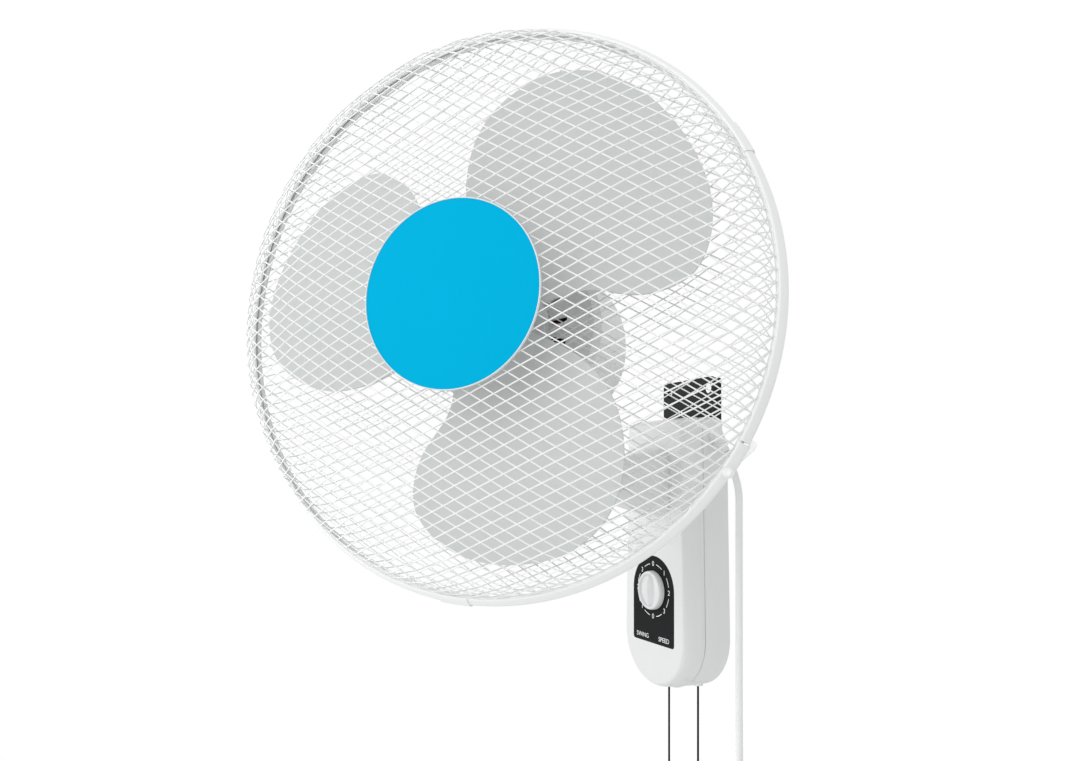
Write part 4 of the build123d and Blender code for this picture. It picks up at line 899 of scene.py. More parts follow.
@dataclass
class GuardBand:
    """The band that holds both nets together, its three clips, its clamp and the clamp's screw.

    Args:
        place: The head's place; heights run along its Z and turns about it.
        back: Height of the band's rear edge.
        front: Height of its front edge.
        outer: Its outer radius.
        inner: Its inner radius.
        side: Height of its straight side.
        lip: How far its front edge stands out from the inner radius.
        wall: Thickness of its wall.
        soft: Rounding of its corners.
        band_steps: Steps round the band.
        seam_turn: Turn at which its ends meet, in degrees.
        seam_sweep: Gap between its ends, in degrees.
        clip_turns: Turn of the middle of each clip, in degrees.
        clip_sweep: Length of a clip, in degrees.
        clip_play: Gap between the band and a clip or the clamp.
        clip_proud: How far a clip stands out from the band.
        clip_steps: Steps along a clip.
        clamp_turns: Turns at which the clamp starts and ends, in degrees.
        ear_back: Height of the rear face of the clamp's ear.
        ear_front: Height of its front face.
        ear: Outline of the ear, as turns in degrees and radii.
        screw_turn: Turn of the clamp's screw, in degrees.
        screw_circle: Radius at which it stands.
        screw_steps: Steps round the screw.
        screw_head: Section of its head.
        boss: Section of the boss that it is driven into.
        boss_soft: Rounding of that boss.
    """

    place: Place
    back: float = 121.5
    front: float = 132.8
    outer: float = 218.2
    inner: float = 212.0
    side: float = 5.0
    lip: float = 1.6
    wall: float = 1.4
    soft: float = 2.4
    band_steps: int = 180
    seam_turn: float = -25.0
    seam_sweep: float = 0.3
    clip_turns: tuple[float, ...] = (32.4, 141.4, 267.6)
    clip_sweep: float = 6.4
    clip_play: float = 0.15
    clip_proud: float = 1.0
    clip_steps: int = 8
    clamp_turns: tuple[float, float] = (-30.2, -25.2)
    ear_back: float = 120.9
    ear_front: float = 124.6
    ear: tuple[Spot, ...] = (
        (-23.9, 218.0),
        (-23.9, 221.4),
        (-24.4, 222.4),
        (-25.3, 222.2),
        (-26.6, 220.6),
        (-27.8, 219.2),
        (-28.6, 218.2),
    )
    screw_turn: float = -30.84
    screw_circle: float = 216.4
    screw_steps: int = 40
    screw_head: tuple[Spot, ...] = (
        (AXIS, 133.1),
        (3.1, 133.1),
        (3.1, 134.0),
        (2.6, 134.8),
        (1.8, 135.2),
        (1.2, 135.2),
        (0.9, 134.4),
        (AXIS, 134.4),
    )
    boss: tuple[Spot, ...] = ((AXIS, 125.5), (3.8, 125.5), (3.8, 133.0), (AXIS, 133.0))
    boss_soft: float = 0.6

    def skin(self, proud: float) -> list[Spot]:
        """Draws the band's outer surface in section.

        Args:
            proud: How far it is moved outwards.

        Returns:
            Radius and height of its points, from the rear edge to the front edge.
        """
        return [
            (self.inner, self.back - proud),
            (self.outer + proud, self.back - proud),
            (self.outer + proud, self.back + self.side),
            (self.inner + self.lip, self.front + proud),
            (self.inner, self.front + proud),
        ]

    def section(self, low: float, high: float) -> list[Spot]:
        """Closed section between two such surfaces, with soft corners."""
        return rounded(self.skin(high) + self.skin(low)[::-1], self.soft)

    def strap(self, start_deg: float, sweep_deg: float) -> Shape:
        """A strap over the band, as its clips and its clamp are."""
        section = self.section(self.clip_play, self.clip_proud)
        return lathe(section, self.clip_steps, start_deg, sweep_deg)

    def clamp(self) -> Shape:
        """Makes the clamp: its strap, and the ear that its end is bent into.

        Returns:
            Points and faces.
        """
        start, end = self.clamp_turns
        plan = [(r * math.cos(math.radians(a)), r * math.sin(math.radians(a))) for a, r in self.ear]
        return joined([self.strap(start, end - start), slab(plan, self.ear_back, self.ear_front)])

    def screw_place(self) -> Place:
        """Finds the place of the clamp's screw, whose axis runs forward.

        Returns:
            The place.
        """
        a = math.radians(self.screw_turn)
        spot = self.place.point(self.screw_circle * math.cos(a), self.screw_circle * math.sin(a), 0)
        return Place(spot, self.place.right, self.place.up, self.place.forward)

    def build(self) -> list[bpy.types.Object]:
        """Makes the band and what is on it.

        Returns:
            The pieces.
        """
        ring = lathe(
            self.section(-self.wall, 0.0), self.band_steps,
            self.seam_turn + self.seam_sweep / 2, 360 - self.seam_sweep,
        )
        band = add_mesh("ring_band", self.place, ring, BAND_ABS_PAINTED_LIGHT, "head")
        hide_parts("guard_ring")
        straps = joined(
            self.strap(turn - self.clip_sweep / 2, self.clip_sweep) for turn in self.clip_turns
        )
        clips = add_mesh("net_clips", self.place, straps, BAND_ABS_PAINTED_LIGHT, "head")
        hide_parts("ring_clips")
        strap = add_mesh("band_clamp", self.place, self.clamp(), BAND_ABS_PAINTED_LIGHT, "head")
        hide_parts("ring_clamp")
        boss = add_mesh(
            "clamp_boss", self.screw_place(),
            lathe(rounded(self.boss, self.boss_soft), self.screw_steps),
            BAND_ABS_PAINTED_LIGHT, "head",
        )
        screw = add_mesh(
            "clamp_screw", self.screw_place(), lathe(self.screw_head, self.screw_steps),
            POWDER_WIRE, "head",
        )
        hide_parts("ring_screw")
        return [band, clips, strap, boss, screw]


@dataclass
class Badge:
    """The round badge over the centre of the front net, bare, in a thin pale rim.

    Args:
        place: The head's place; heights run along its Z.
        radius: Radius of the rim.
        rim: Width of the rim.
        rim_drop: How far the rim stays behind the face.
        rim_soft: Rounding of the rim.
        back: Height of the back of the face.
        face: Height of the middle of the face.
        fall: How far the face falls away towards its edge.
        face_steps: Steps from the middle of the face to its edge.
        skirt: Section of the white back and of the ring that reaches through the net.
    """

    place: Place
    radius: float = 66.6
    rim: float = 0.7
    rim_drop: float = 0.2
    rim_soft: float = 0.7
    back: float = 183.7
    face: float = 186.5
    fall: float = 0.9
    face_steps: int = 10
    skirt: tuple[Spot, ...] = (
        (48.7, 175.8),
        (51.7, 175.8),
        (51.7, 183.1),
        (65.2, 183.1),
        (65.2, 183.5),
        (AXIS, 183.5),
        (AXIS, 183.1),
        (48.7, 183.1),
    )

    def build(self) -> list[bpy.types.Object]:
        """Makes the face, its rim and its white back.

        Returns:
            The pieces.
        """
        inner = self.radius - self.rim
        turns = [math.pi / 2 * k / self.face_steps for k in range(1, self.face_steps + 1)]
        dome = [(inner * math.sin(a), self.face - self.fall * (1 - math.cos(a))) for a in turns]
        outline = [(AXIS, self.face)] + dome + [(inner, self.back), (AXIS, self.back)]
        face = add_mesh(
            "badge_face", self.place, lathe(outline), BADGE_BLUE, "head"
        )
        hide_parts("badge")
        top = self.face - self.rim_drop
        edge = [(inner, self.back), (self.radius, self.back), (self.radius, top), (inner, top)]
        rim, skirt = (
            add_mesh(name, self.place, lathe(section), WHITE_ABS, "head")
            for name, section in (
                ("badge_rim", rounded(edge, self.rim_soft)),
                ("badge_skirt", self.skirt),
            )
        )
        return [face, rim, skirt]


# --------------------------------------------------------------------------------- dial panel


class Word(Enum):
    """The two generic words at the foot of the panel, each with its X."""

    SWING = -17.5
    SPEED = 17.5


@dataclass
class DialScale:
    """The printed scale round the speed dial, and the words over the two pull cords.

    Args:
        centre_z: Z of the dial's centre.
        panel_depth: How far the panel's face stands in front of the wall.
        ring_radius: Radius of the circle of figures.
        figure_height: Height of the figures' type body.
        word_height: Height of the words' type body.
        word_z: Z of the words.
        figures: The figures, from the top and clockwise.
        first_deg: Turn of the first figure.
        dash_half_deg: Half the length of a dash, in degrees.
        dash_half_width: Half its width.
        dash_steps: Steps along it.
        ink: Thickness of the ink.
        bolder: How far the letters are drawn bolder, as a share of their height.
    """

    centre_z: float = -197.0
    panel_depth: float = 51.2
    ring_radius: float = 25.7
    figure_height: float = 6.8
    word_height: float = 6.3
    word_z: float = -243.5
    figures: tuple[str, ...] = ("0", "1", "2", "3", "0", "1", "2", "3")
    first_deg: float = 90.0
    dash_half_deg: float = 10.5
    dash_half_width: float = 0.36
    dash_steps: int = 6
    ink: float = 0.08
    bolder: float = 0.002

    def lettering(self, text: str, size: float, x: float, z: float) -> bpy.types.Object:
        """Makes one printed word or figure as a thin mesh.

        Args:
            text: What it says.
            size: Height of the type body.
            x: X of its centre.
            z: Z of its centre.

        Returns:
            The piece.
        """
        curve = bpy.data.curves.new("lettering", "FONT")
        curve.body = text
        curve.align_x = "CENTER"
        curve.align_y = "CENTER"
        curve.size = size * MM
        curve.extrude = self.ink / 2 * MM
        curve.offset = self.bolder * size * MM
        source = bpy.data.objects.new("lettering", curve)
        bpy.context.scene.collection.objects.link(source)
        bpy.context.view_layer.update()
        mesh = bpy.data.meshes.new_from_object(source)
        bpy.data.objects.remove(source)
        place = wall_place(x, self.panel_depth + self.ink / 2, z)
        turn = Matrix((place.right, place.up, place.forward)).transposed().to_4x4()
        mesh.transform(Matrix.Translation(place.origin) @ turn)
        piece = bpy.data.objects.new(f"scale_{text}_{int(x + 100)}_{int(-z)}", mesh)
        return settle(piece, SCALE_INK, "base")

    def dash(self, centre_deg: float) -> Shape:
        """Makes one short arc between two figures: a face on the panel and one on the ink.

        Args:
            centre_deg: Turn of its middle.

        Returns:
            Points and faces.
        """
        first, sweep = centre_deg - self.dash_half_deg, 2 * self.dash_half_deg
        points: list[Point] = []
        for level in (0.0, self.ink):
            for k in range(self.dash_steps + 1):
                a = math.radians(first + sweep * k / self.dash_steps)
                for half_width in (-self.dash_half_width, self.dash_half_width):
                    radius = self.ring_radius + half_width
                    points.append((radius * math.cos(a), radius * math.sin(a), level))
        starts = [
            level + 2 * k
            for level in (0, 2 * (self.dash_steps + 1))
            for k in range(self.dash_steps)
        ]
        return points, [(i, i + 1, i + 3, i + 2) for i in starts]

    def build(self) -> list[bpy.types.Object]:
        """Makes the figures, the dashes and the words.

        Returns:
            The pieces.
        """
        pieces = []
        spread = 360 / len(self.figures)
        for number, figure in enumerate(self.figures):
            a = math.radians(self.first_deg - number * spread)
            x = self.ring_radius * math.cos(a)
            z = self.centre_z + self.ring_radius * math.sin(a)
            pieces.append(self.lettering(figure, self.figure_height, x, z))
        dashes = joined(
            self.dash(self.first_deg - (number + 0.5) * spread)
            for number in range(len(self.figures))
        )
        pieces.append(add_mesh(
            "scale_dashes", wall_place(0, self.panel_depth, self.centre_z), dashes,
            SCALE_INK, "base",
        ))
        for word in Word:
            pieces.append(self.lettering(word.name, self.word_height, word.value, self.word_z))
        return pieces


@dataclass
class DialKnob:
    """The round knob: a soft rim round a shallow dish, with a lens-shaped grip across it.

    Args:
        centre_z: Z of the knob's centre.
        back_depth: How far its back stands in front of the wall.
        radius: Its radius.
        height: Its height.
        turn_steps: Steps round it.
        dish_radius: Radius of the dish.
        dish_depth: Depth of the dish.
        dish_steps: Steps from the middle of the dish to its edge.
        dish_rise: How far the dish's floor rises at its edge.
        inner_rim: Points of the rim: how far outside the dish, and how far below the top.
        outer_rim: Points of the rim: how far inside the knob's radius, and below the top.
        grip_half_width: Half the width of the grip at its middle.
        grip_rise: Height of the grip over the dish.
        grip_curve: Power of the grip's sides; 1 is straight and 2 is round.
        shaft_radius: Radius of the switch's shaft.
        shaft_back: Height of the shaft's rear end, from the knob's back.
        shaft_front: Height of its front end.
        shaft_steps: Steps round it.
    """

    centre_z: float = -197.0
    back_depth: float = 51.6
    radius: float = 19.0
    height: float = 5.6
    turn_steps: int = 96
    dish_radius: float = 15.2
    dish_depth: float = 2.4
    dish_steps: int = 20
    dish_rise: float = 0.25
    inner_rim: tuple[Spot, ...] = ((0.7, 0.5), (1.5, 0.0), (2.1, 0.05))
    outer_rim: tuple[Spot, ...] = ((0.9, 0.5), (0.35, 1.4))
    grip_half_width: float = 7.0
    grip_rise: float = 4.4
    grip_curve: float = 1.4
    shaft_radius: float = 3.0
    shaft_back: float = -10.0
    shaft_front: float = 2.6
    shaft_steps: int = 32

    def outline(self, floor: float) -> list[Spot]:
        """Draws the knob's surface in section, from its centre to its foot.

        Args:
            floor: Height of the dish's floor.

        Returns:
            Radius and height of its points.
        """
        across = [self.dish_radius * k / self.dish_steps for k in range(1, self.dish_steps)]
        dish = [(AXIS, floor)] + [(radius, floor) for radius in across]
        edge = [(self.dish_radius, floor + self.dish_rise)]
        inner = [(self.dish_radius + out, self.height - down) for out, down in self.inner_rim]
        outer = [(self.radius - back, self.height - down) for back, down in self.outer_rim]
        return dish + edge + inner + outer + [(self.radius, 0.0), (AXIS, 0.0)]

    def grip(self, x: float, y: float) -> float:
        """Works out how far the grip stands over the dish.

        Args:
            x: Distance from the centre, across the grip.
            y: Distance from the centre, along the grip.

        Returns:
            The height over the dish's floor.
        """
        span = 1 - (y / self.dish_radius) ** 2
        if span <= 0.0:
            return 0.0
        across = x / (self.grip_half_width * math.sqrt(span))
        if abs(across) >= 1.0:
            return 0.0
        return self.grip_rise * (1 - abs(across) ** self.grip_curve) * math.sqrt(span)

    def build(self) -> list[bpy.types.Object]:
        """Makes the knob and the switch's shaft inside it.

        Returns:
            The pieces.
        """
        floor = self.height - self.dish_depth
        points, faces = lathe(self.outline(floor), self.turn_steps)
        raised = [(x, y, z + self.grip(x, y)) if z == floor else (x, y, z) for x, y, z in points]
        place = wall_place(0, self.back_depth, self.centre_z)
        knob = add_mesh(
            "dial_knob", place, (raised, faces), WHITE_ABS, "knob"
        )
        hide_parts("speed_knob")
        rod = [
            (AXIS, self.shaft_back), (self.shaft_radius, self.shaft_back),
            (self.shaft_radius, self.shaft_front), (AXIS, self.shaft_front),
        ]
        shaft = add_mesh(
            "dial_shaft", place, lathe(rod, self.shaft_steps), ZINC_STEEL, "knob"
        )
        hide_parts("switch_shaft")
        return [knob, shaft]


# --------------------------------------------------------------------------------------- base


@dataclass
class BaseCover:
    """The front half of the base with its full, soft front edge, and the skirt towards the wall.

    Args:
        half_width: Half the width of the base, and the radius of its round foot.
        top_half_width: Half its width at the top.
        top_z: Z of its top.
        bottom_z: Z of its foot.
        top_corner: Radius of its top corners.
        least_corner: Least radius that they keep when the outline is drawn in.
        foot_steps: Steps round the foot.
        corner_steps: Steps round a top corner.
        parting_depth: How far the parting line is in front of the wall.
        front_depth: How far the front face is in front of the wall.
        edge_depth: Depth of the soft front edge.
        edge_inset: How far that edge draws the outline in.
        edge_steps: Steps over the edge.
        draft: How far the side draws in before the edge starts.
        wall: Thickness of the wall.
        groove_depth: Depth of the groove along the parting line.
        groove_width: Width of the groove.
        groove: Its flank, as shares of its depth and distances from the parting line.
        skirt: Rings of the skirt: inset of the outline, and how far in front of the wall.
    """

    half_width: float = 53.0
    top_half_width: float = 48.5
    top_z: float = -29.0
    bottom_z: float = -293.5
    top_corner: float = 11.0
    least_corner: float = 0.8
    foot_steps: int = 36
    corner_steps: int = 6
    parting_depth: float = 28.0
    front_depth: float = 51.0
    edge_depth: float = 15.0
    edge_inset: float = 5.5
    edge_steps: int = 10
    draft: float = 1.4
    wall: float = 2.4
    groove_depth: float = 2.0
    groove_width: float = 4.0
    groove: tuple[Spot, ...] = ((1.0, 0.0), (0.55, 0.7), (0.2, 2.0))
    skirt: tuple[Spot, ...] = (
        (1.6, 5.8),
        (-0.05, 5.8),
        (0.0, 14.0),
        (0.2, 20.0),
        (0.6, 24.0),
        (1.1, 26.6),
        (1.6, 27.7),
    )

    def outline(self, inset: float) -> list[Spot]:
        """Draws the front view of the base, always with the same number of points.

        Args:
            inset: How far the outline is drawn in.

        Returns:
            X and Z of its points.
        """
        centre_z = self.bottom_z + self.half_width
        low = self.half_width - inset
        foot = [math.pi * k / self.foot_steps for k in range(self.foot_steps + 1)]
        points = [(-low * math.cos(a), centre_z - low * math.sin(a)) for a in foot]
        corner = max(self.top_corner - inset, self.least_corner)
        corner_x = self.top_half_width - inset - corner
        corner_z = self.top_z - inset - corner
        turns = [math.pi / 2 * k / self.corner_steps for k in range(self.corner_steps + 1)]
        for side, way in ((1, turns), (-1, turns[::-1])):
            for a in way:
                x, z = corner_x + corner * math.cos(a), corner_z + corner * math.sin(a)
                points.append((side * x, z))
        return points

    def shell(self, rings: Sequence[Spot], cap: bool = False) -> Shape:
        """Skins a row of rings that follow the base's outline.

        Args:
            rings: Inset and depth of each ring.
            cap: Whether the last ring is filled; if not, the row closes on itself.

        Returns:
            Points and faces.
        """
        points = [(x, z, depth) for inset, depth in rings for x, z in self.outline(inset)]
        rows = len(rings)
        count = len(points) // rows
        faces: Faces = []
        for i in range(rows - 1 if cap else rows):
            j = (i + 1) % rows
            for k in range(count):
                m = (k + 1) % count
                faces.append((i * count + k, i * count + m, j * count + m, j * count + k))
        if cap:
            faces.append(tuple((rows - 1) * count + k for k in range(count)))
        return points, faces

    def front_edge(self, inset: float, depth: float) -> list[Spot]:
        """Draws the soft front edge.

        Args:
            inset: Inset at which it starts.
            depth: Its depth.

        Returns:
            Inset and depth of its rings.
        """
        start = self.front_depth - self.edge_depth
        turns = [math.pi / 2 * k / self.edge_steps for k in range(self.edge_steps + 1)]
        return [
            (inset + self.edge_inset * (1 - math.cos(a)), start + depth * math.sin(a))
            for a in turns
        ]

    def build(self) -> list[bpy.types.Object]:
        """Makes the cover and the skirt.

        Returns:
            The pieces.
        """
        part = self.parting_depth
        back = [(self.wall, part)]
        groove = [(self.groove_depth * share, part + away) for share, away in self.groove]
        outside = [(0.0, part + self.groove_width)] + self.front_edge(self.draft, self.edge_depth)
        inside = self.front_edge(self.draft + self.wall, self.edge_depth - self.wall)
        place = wall_place(0, 0, 0)
        cover = add_mesh(
            "base_shell", place,
            joined([self.shell(back + groove + outside, True), self.shell(back + inside, True)]),
            WHITE_ABS, "base",
        )
        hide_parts("base_front_cover")
        skirt = add_mesh(
            "base_skirt", place, self.shell(self.skirt), WHITE_ABS, "base"
        )
        return [cover, skirt]


@dataclass
class Eyelets:
    """The two small bushes in the foot of the base that the pull cords run through.

    Args:
        offset: X of each bush, to the left and to the right.
        depth: How far their axes are in front of the wall.
        face_z: Z of the face that they stand in.
        steps: Steps round a bush.
        outline: Section of a bush, with heights from that face.
    """

    offset: float = 23.3
    depth: float = 14.5
    face_z: float = -288.4
    steps: int = 32
    outline: tuple[Spot, ...] = (
        (1.5, 8.0),
        (2.8, 8.0),
        (2.8, 0.8),
        (3.4, 0.8),
        (3.3, 0.1),
        (2.6, -0.3),
        (1.8, -0.2),
        (1.5, 0.4),
    )

    def build(self) -> list[bpy.types.Object]:
        """Makes both bushes as one piece.

        Returns:
            The piece.
        """
        points, faces = lathe(self.outline, self.steps)
        both = joined(
            ([(x + shift, y, z) for x, y, z in points], faces)
            for shift in (-self.offset, self.offset)
        )
        place = upright_place(0, self.depth, self.face_z)
        bushes = add_mesh("pull_bushes", place, both, WHITE_ABS, "base")
        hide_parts("cord_eyelets")
        return [bushes]


# -------------------------------------------------------------------------------------- cords


@dataclass
class SupplyCord:
    """The supply cord: out of the base at a slant, straight down, wound and tied, to its plug.

    Args:
        diameter: Its diameter.
        exit_x: X at which it leaves the base.
        exit_z: Z at which it leaves the base.
        depth: How far it is in front of the wall.
        hang_x: X of its hanging stretch.
        corner_z: Z at which it turns down.
        below_corner_z: Z at which it hangs straight.
        coil_z: Z of the coil's centre.
        layer: Distance between the two layers of the coil.
        inward: Offsets of the ends of the half turns of the rear layer.
        outward: Offsets of the ends of those of the front layer.
        tail: Length from the coil to the plug.
        turn_points: Control points of a half turn.
        real_length: Its length, in metres. Not used.
    """

    diameter: float = 6.5
    exit_x: float = 48.9
    exit_z: float = -46.0
    depth: float = 16.6
    hang_x: float = 84.1
    corner_z: float = -81.2
    below_corner_z: float = -131.0
    coil_z: float = -388.0
    layer: float = 7.1
    inward: tuple[float, ...] = (-44.0, 40.5, -37.0, 33.5, -29.8)
    outward: tuple[float, ...] = (26.8, -34.0, 37.5, -41.0, 44.5, -48.0)
    tail: float = 66.0
    turn_points: int = 8
    real_length: float = 1.586

    def half_turn(self, start: Spot, end: Spot, low: bool) -> list[Point]:
        """Draws one half turn of the coil.

        Args:
            start: Offset and depth of its start.
            end: Offset and depth of its end.
            low: Whether it runs round the foot of the coil.

        Returns:
            Its control points.
        """
        middle_x, middle_y = (start[0] + end[0]) / 2, (start[1] + end[1]) / 2
        half = ((end[0] - start[0]) / 2, (end[1] - start[1]) / 2)
        tall = math.hypot(*half) * (-1 if low else 1)
        step = math.pi / self.turn_points
        # The control points lie outside the round by this much, so that the spline touches it.
        swell = 1 / math.cos(step / 2)
        coil_x = self.hang_x - self.inward[0]
        points = []
        for k in range(self.turn_points):
            a = (k + 0.5) * step
            points.append((
                coil_x + middle_x - half[0] * math.cos(a) * swell,
                -(middle_y - half[1] * math.cos(a)),
                self.coil_z + tall * math.sin(a) * swell,
            ))
        return points

    def route(self) -> list[Point]:
        """Draws the cord's centre line, from its exit to the plug.

        Returns:
            Its control points.
        """
        points = [
            (self.exit_x, -self.depth, self.exit_z),
            (self.hang_x, -self.depth, self.corner_z),
            (self.hang_x, -self.depth, self.below_corner_z),
        ]
        ends = [(offset, self.depth) for offset in self.inward]
        ends += [(offset, self.depth + self.layer) for offset in self.outward]
        for number, (start, end) in enumerate(zip(ends, ends[1:])):
            points += self.half_turn(start, end, number % 2 == 0)
        tail_x = self.hang_x - self.inward[0] + self.outward[-1]
        points.append((tail_x, -self.depth - self.layer, self.coil_z - self.tail))
        return points

    def build(self, pieces: Sequence[bpy.types.Object]) -> bpy.types.Object:
        """Args:
            pieces: The pieces on it. Not used.

        Returns:
            The cord.
        """
        cord = add_cord(
            "supply_cord", self.route(), self.diameter, CORD_PVC, "base"
        )
        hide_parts("power_cord", "power_cord_coil", "power_cord_tail")
        return cord


@dataclass
class StrainRelief:
    """The ribbed sleeve round the supply cord where it leaves the base.

    Args:
        cord: The cord that it is on.
        steps: Steps round it.
        collar: Section of its collar, which sits in the base's wall.
        ribs: Number of ribs.
        first_rib: Height at which the first one starts.
        rib_run: Length of all ribs together.
        rib: One rib, as shares of its length and depths below its top.
        foot_radius: Radius over the ribs at the foot, if they started there.
        taper: How much less it is at the tip.
        tip: Section of its tip.
        length: Its length, from the base's wall.
    """

    cord: SupplyCord
    steps: int = 48
    collar: tuple[Spot, ...] = ((3.4, -5.5), (5.45, -5.5), (5.45, 3.5))
    ribs: int = 6
    first_rib: float = 4.0
    rib_run: float = 20.0
    rib: tuple[Spot, ...] = ((0.0, 0.0), (0.6, 0.0), (0.68, 0.9), (0.94, 0.9))
    foot_radius: float = 5.4
    taper: float = 0.95
    tip: tuple[Spot, ...] = ((4.4, 24.6), (4.0, 25.8), (3.4, 25.8))
    length: float = 26.0

    def build(self) -> bpy.types.Object:
        """Makes the sleeve along the cord's slant.

        Returns:
            The piece.
        """
        slant = Vector((1, 0, -1)).normalized()
        spot = Vector((self.cord.exit_x, -self.cord.depth, self.cord.exit_z)) * MM
        place = Place(spot, INTO_WALL, slant.cross(INTO_WALL), slant)
        outline = list(self.collar)
        width = self.rib_run / self.ribs
        for number in range(self.ribs):
            start = self.first_rib + self.rib_run * number / self.ribs
            outer = self.foot_radius - self.taper * (start / self.length)
            outline += [(outer - depth, start + share * width) for share, depth in self.rib]
        outline += self.tip
        grip = add_mesh(
            "strain_relief", place, lathe(outline, self.steps), CORD_PVC, "base"
        )
        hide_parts("cord_grip")
        return grip


@dataclass
class PullCord:
    """One pull cord, hanging straight from its plunger to its bell.

    Args:
        side: What it works: swing or speed.
        x: Its X.
        depth: How far it is in front of the wall.
        top_z: Z of its top.
        eyelet_z: Z at which it has left the base.
        length: Its length from plunger to bell.
        diameter: Its diameter.
        bell: Section of its bell, with heights from the cord's foot.
        bell_soft: Rounding of the bell.
        bell_steps: Steps round it.
    """

    side: str
    x: float
    depth: float = 14.5
    top_z: float = -238.0
    eyelet_z: float = -302.0
    length: float = 214.0
    diameter: float = 2.0
    bell: tuple[Spot, ...] = (
        (AXIS, 0.0),
        (2.9, 0.0),
        (3.3, -4.0),
        (4.2, -12.0),
        (6.4, -23.9),
        (5.2, -23.9),
        (3.6, -20.0),
        (AXIS, -20.0),
    )
    bell_soft: float = 1.0
    bell_steps: int = 48

    def build(self) -> list[bpy.types.Object]:
        """Makes the cord and its bell.

        Returns:
            The pieces.
        """
        body = f"{self.side}_pull"
        foot = self.top_z - self.length
        route = [(self.x, -self.depth, z) for z in (self.top_z, self.eyelet_z, foot)]
        cord = add_cord(
            f"{self.side}_cord", route, self.diameter, CORD_BRAID, body
        )
        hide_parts(f"{self.side}_pull_cord")
        bell = add_mesh(
            f"{self.side}_bell", upright_place(self.x, self.depth, foot),
            lathe(rounded(self.bell, self.bell_soft), self.bell_steps),
            WHITE_ABS, body,
        )
        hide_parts(f"{self.side}_pull_bell")
        return [cord, bell]


# ------------------------------------------------------------------------------------- studio


@dataclass(frozen=True)
class Lamp:
    """A large soft lamp.

    Args:
        name: Its name.
        spot: Where it stands, in metres.
        aim: The point that it faces, in metres.
        size: Its side, in metres.
        power: Its power, in watts.
    """

    name: str
    spot: Point
    aim: Point
    size: float
    power: float

    def build(self) -> None:
        """Adds the lamp to the scene."""
        data = bpy.data.lights.new(self.name, "AREA")
        data.size = self.size
        data.energy = self.power
        lamp = bpy.data.objects.new(self.name, data)
        lamp.location = self.spot
        way = Vector(self.aim) - Vector(self.spot)
        lamp.rotation_euler = way.to_track_quat("-Z", "Y").to_euler()
        bpy.context.scene.collection.objects.link(lamp)


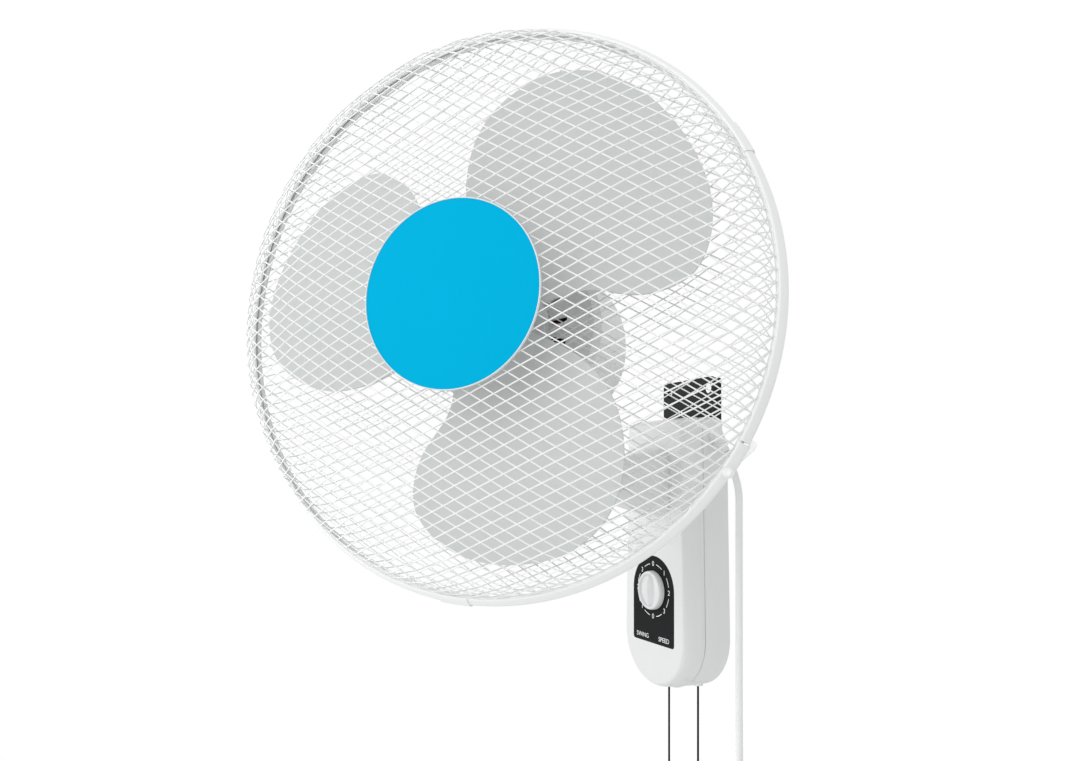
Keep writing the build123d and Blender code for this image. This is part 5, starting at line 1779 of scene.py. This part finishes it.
@dataclass
class Studio:
    """Camera, soft lamps, pale floor and white surroundings.

    Args:
        camera_spot: Where the camera stands, in metres.
        camera_turn_deg: Its turn about the vertical.
        sensor_mm: Width of its sensor.
        focal_px: Focal length, in pixels of the photograph.
        photo_width: Width of the photograph, in pixels.
        photo_height: Height of it, in pixels.
        horizon_px: How far below the photograph's top its horizon is, in pixels.
        clip_start: How near the camera sees, in metres.
        lamps: The lamps.
        white: Colour of the surroundings.
        soft_light: Strength of the surroundings as light on the fan.
        floor_z: Z of the floor, in metres.
        floor_half: Half the side of the floor, in metres.
        fade: Distances at which the floor starts and ends to turn white, in metres.
    """

    camera_spot: Point = (0.6218, -0.4948, -0.0863)
    camera_turn_deg: float = 62.5
    sensor_mm: float = 36.0
    focal_px: float = 772.0
    photo_width: int = 1089
    photo_height: int = 761
    horizon_px: float = 477.0
    clip_start: float = 0.01
    lamps: tuple[Lamp, ...] = (
        Lamp("key_lamp", (0.9, -1.8, 0.8), (0.1, -0.2, 0.0), 2.2, 19.0),
        Lamp("fill_lamp", (-1.4, -1.5, 0.2), (0.0, -0.2, -0.05), 2.0, 14.0),
    )
    white: str = "#FFFFFF"
    soft_light: float = 0.72
    floor_z: float = -0.62
    floor_half: float = 4.0
    fade: tuple[float, float] = (0.25, 0.7)

    def build(self) -> None:
        """Sets up everything that isn't part of the fan."""
        self.add_camera()
        self.add_world()
        for lamp in self.lamps:
            lamp.build()
        self.add_floor()
        bpy.context.scene.view_settings.view_transform = "Standard"

    def add_camera(self) -> None:
        """Places the camera at the photograph's viewpoint."""
        data = bpy.data.cameras.new("photo_camera")
        data.sensor_fit = "HORIZONTAL"
        data.sensor_width = self.sensor_mm
        data.lens = self.sensor_mm * self.focal_px / self.photo_width
        data.shift_y = (self.horizon_px - self.photo_height / 2) / self.photo_width
        data.clip_start = self.clip_start
        camera = bpy.data.objects.new("photo_camera", data)
        camera.location = self.camera_spot
        camera.rotation_euler = (math.pi / 2, 0.0, math.radians(self.camera_turn_deg))
        bpy.context.scene.collection.objects.link(camera)
        bpy.context.scene.camera = camera

    def add_world(self) -> None:
        """White surroundings for the eye and in gloss, and an even soft light for the fan."""
        world = bpy.data.worlds.new("white_studio")
        world.use_nodes = True
        tree = world.node_tree
        tree.nodes.clear()
        rays = add_node(tree, "ShaderNodeLightPath").outputs
        seen = add_node(
            tree, "ShaderNodeMath", {"operation": "MAXIMUM"},
            {0: rays["Is Camera Ray"], 1: rays["Is Glossy Ray"]},
        )
        through = add_node(
            tree, "ShaderNodeMath", {"operation": "MAXIMUM"},
            {0: seen.outputs["Value"], 1: rays["Is Transmission Ray"]},
        )
        soft, white = (
            add_node(
                tree, "ShaderNodeBackground",
                inputs={"Color": linear(self.white), "Strength": strength},
            )
            for strength in (self.soft_light, 1.0)
        )
        mix = add_node(
            tree, "ShaderNodeMixShader",
            inputs={0: through.outputs["Value"], 1: soft.outputs[0], 2: white.outputs[0]},
        )
        add_node(tree, "ShaderNodeOutputWorld", inputs={"Surface": mix.outputs[0]})
        bpy.context.scene.world = world

    def whiten(self, material: bpy.types.Material) -> None:
        """Lets the floor read as white to the eye, away from the shadow on it.

        Args:
            material: The floor's material.
        """
        tree = material.node_tree
        output = next(n for n in tree.nodes if n.type == "OUTPUT_MATERIAL")
        painted = output.inputs["Surface"].links[0].from_socket
        place = add_node(tree, "ShaderNodeTexCoord")
        spread = add_node(
            tree, "ShaderNodeVectorMath", {"operation": "LENGTH"}, {0: place.outputs["Object"]}
        )
        near, far = self.fade
        away = add_node(
            tree,
            "ShaderNodeMapRange",
            inputs={"Value": spread.outputs["Value"], "From Min": near, "From Max": far},
        )
        path = add_node(tree, "ShaderNodeLightPath")
        eye = add_node(
            tree, "ShaderNodeMath", {"operation": "MULTIPLY"},
            {0: path.outputs["Is Camera Ray"], 1: away.outputs["Result"]},
        )
        white = add_node(
            tree, "ShaderNodeEmission", inputs={"Color": linear(self.white), "Strength": 1.0}
        )
        mix = add_node(
            tree, "ShaderNodeMixShader",
            inputs={0: eye.outputs["Value"], 1: painted, 2: white.outputs[0]},
        )
        tree.links.new(mix.outputs[0], output.inputs["Surface"])

    def add_floor(self) -> None:
        """Adds the pale floor below the fan."""
        mesh = bpy.data.meshes.new("studio_floor")
        side = self.floor_half
        corners = [(-side, -side), (side, -side), (side, side), (-side, side)]
        mesh.from_pydata([(x, y, self.floor_z) for x, y in corners], [], [(0, 1, 2, 3)])
        paint = FLOOR_PAINT.build()
        self.whiten(paint)
        mesh.materials.append(paint)
        floor = bpy.data.objects.new("studio_floor", mesh)
        bpy.context.scene.collection.objects.link(floor)


# -------------------------------------------------------------------------------------- build


@dataclass
class CarriedNodes:
    """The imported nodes: each gets its finish, and those that are shown get soft edges.

    Args:
        edge_mm: Rounding of a node's edges, where it has one.
        segments: Faces across such a rounding.
    """

    edge_mm: dict[str, float] = field(default_factory=lambda: {
        "support_arm": 0.8, "tilt_knuckle": 0.8, "fan_blade": 0.5, "blade_nut": 1.0,
        "wall_bracket": 0.4, "base_rear_cover": 0.5, "control_panel": 0.2, "plug_body": 0.8,
        "motor_rear_housing": 1.2, "motor_front_housing": 1.2,
    })
    segments: int = 2

    def dress(self) -> None:
        """Gives every node its finish, and a small rounding where the real piece has it."""
        for name, node in frame["nodes"].items():
            finish = NODE_FINISHES[name].build()
            for slot in node.material_slots:
                slot.material = finish
            if name in self.edge_mm:
                bevel = node.modifiers.new("soft_edge", "BEVEL")
                bevel.width = self.edge_mm[name] * MM
                bevel.segments = self.segments
                bevel.limit_method = "ANGLE"
                bevel.angle_limit = math.radians(SHARP_DEG)
            LOG.info("dressed %s", name)


def main() -> None:
    """Builds the fan's pieces in order and reports each one."""
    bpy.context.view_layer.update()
    head = head_place()
    CarriedNodes().dress()
    Studio().build()
    cord = SupplyCord()
    grip = StrainRelief(cord).build()
    nodes = frame["nodes"]
    on_cord = [grip, nodes["coil_tie"], nodes["plug_body"], nodes["plug_pins"]]
    pieces = [grip, cord.build(on_cord)]
    pieces += PullCord("swing", -23.3).build()
    pieces += PullCord("speed", 23.3).build()
    pieces += NetGuard(head).build()
    pieces += GuardBand(head).build()
    pieces += Badge(head).build()
    pieces += BaseCover().build()
    pieces += DialKnob().build()
    pieces += Eyelets().build()
    pieces += DialScale().build()
    for piece in pieces:
        LOG.info("built %s", piece.name)


if __name__ == "__main__":
    logging.basicConfig(level=logging.INFO)
    main()
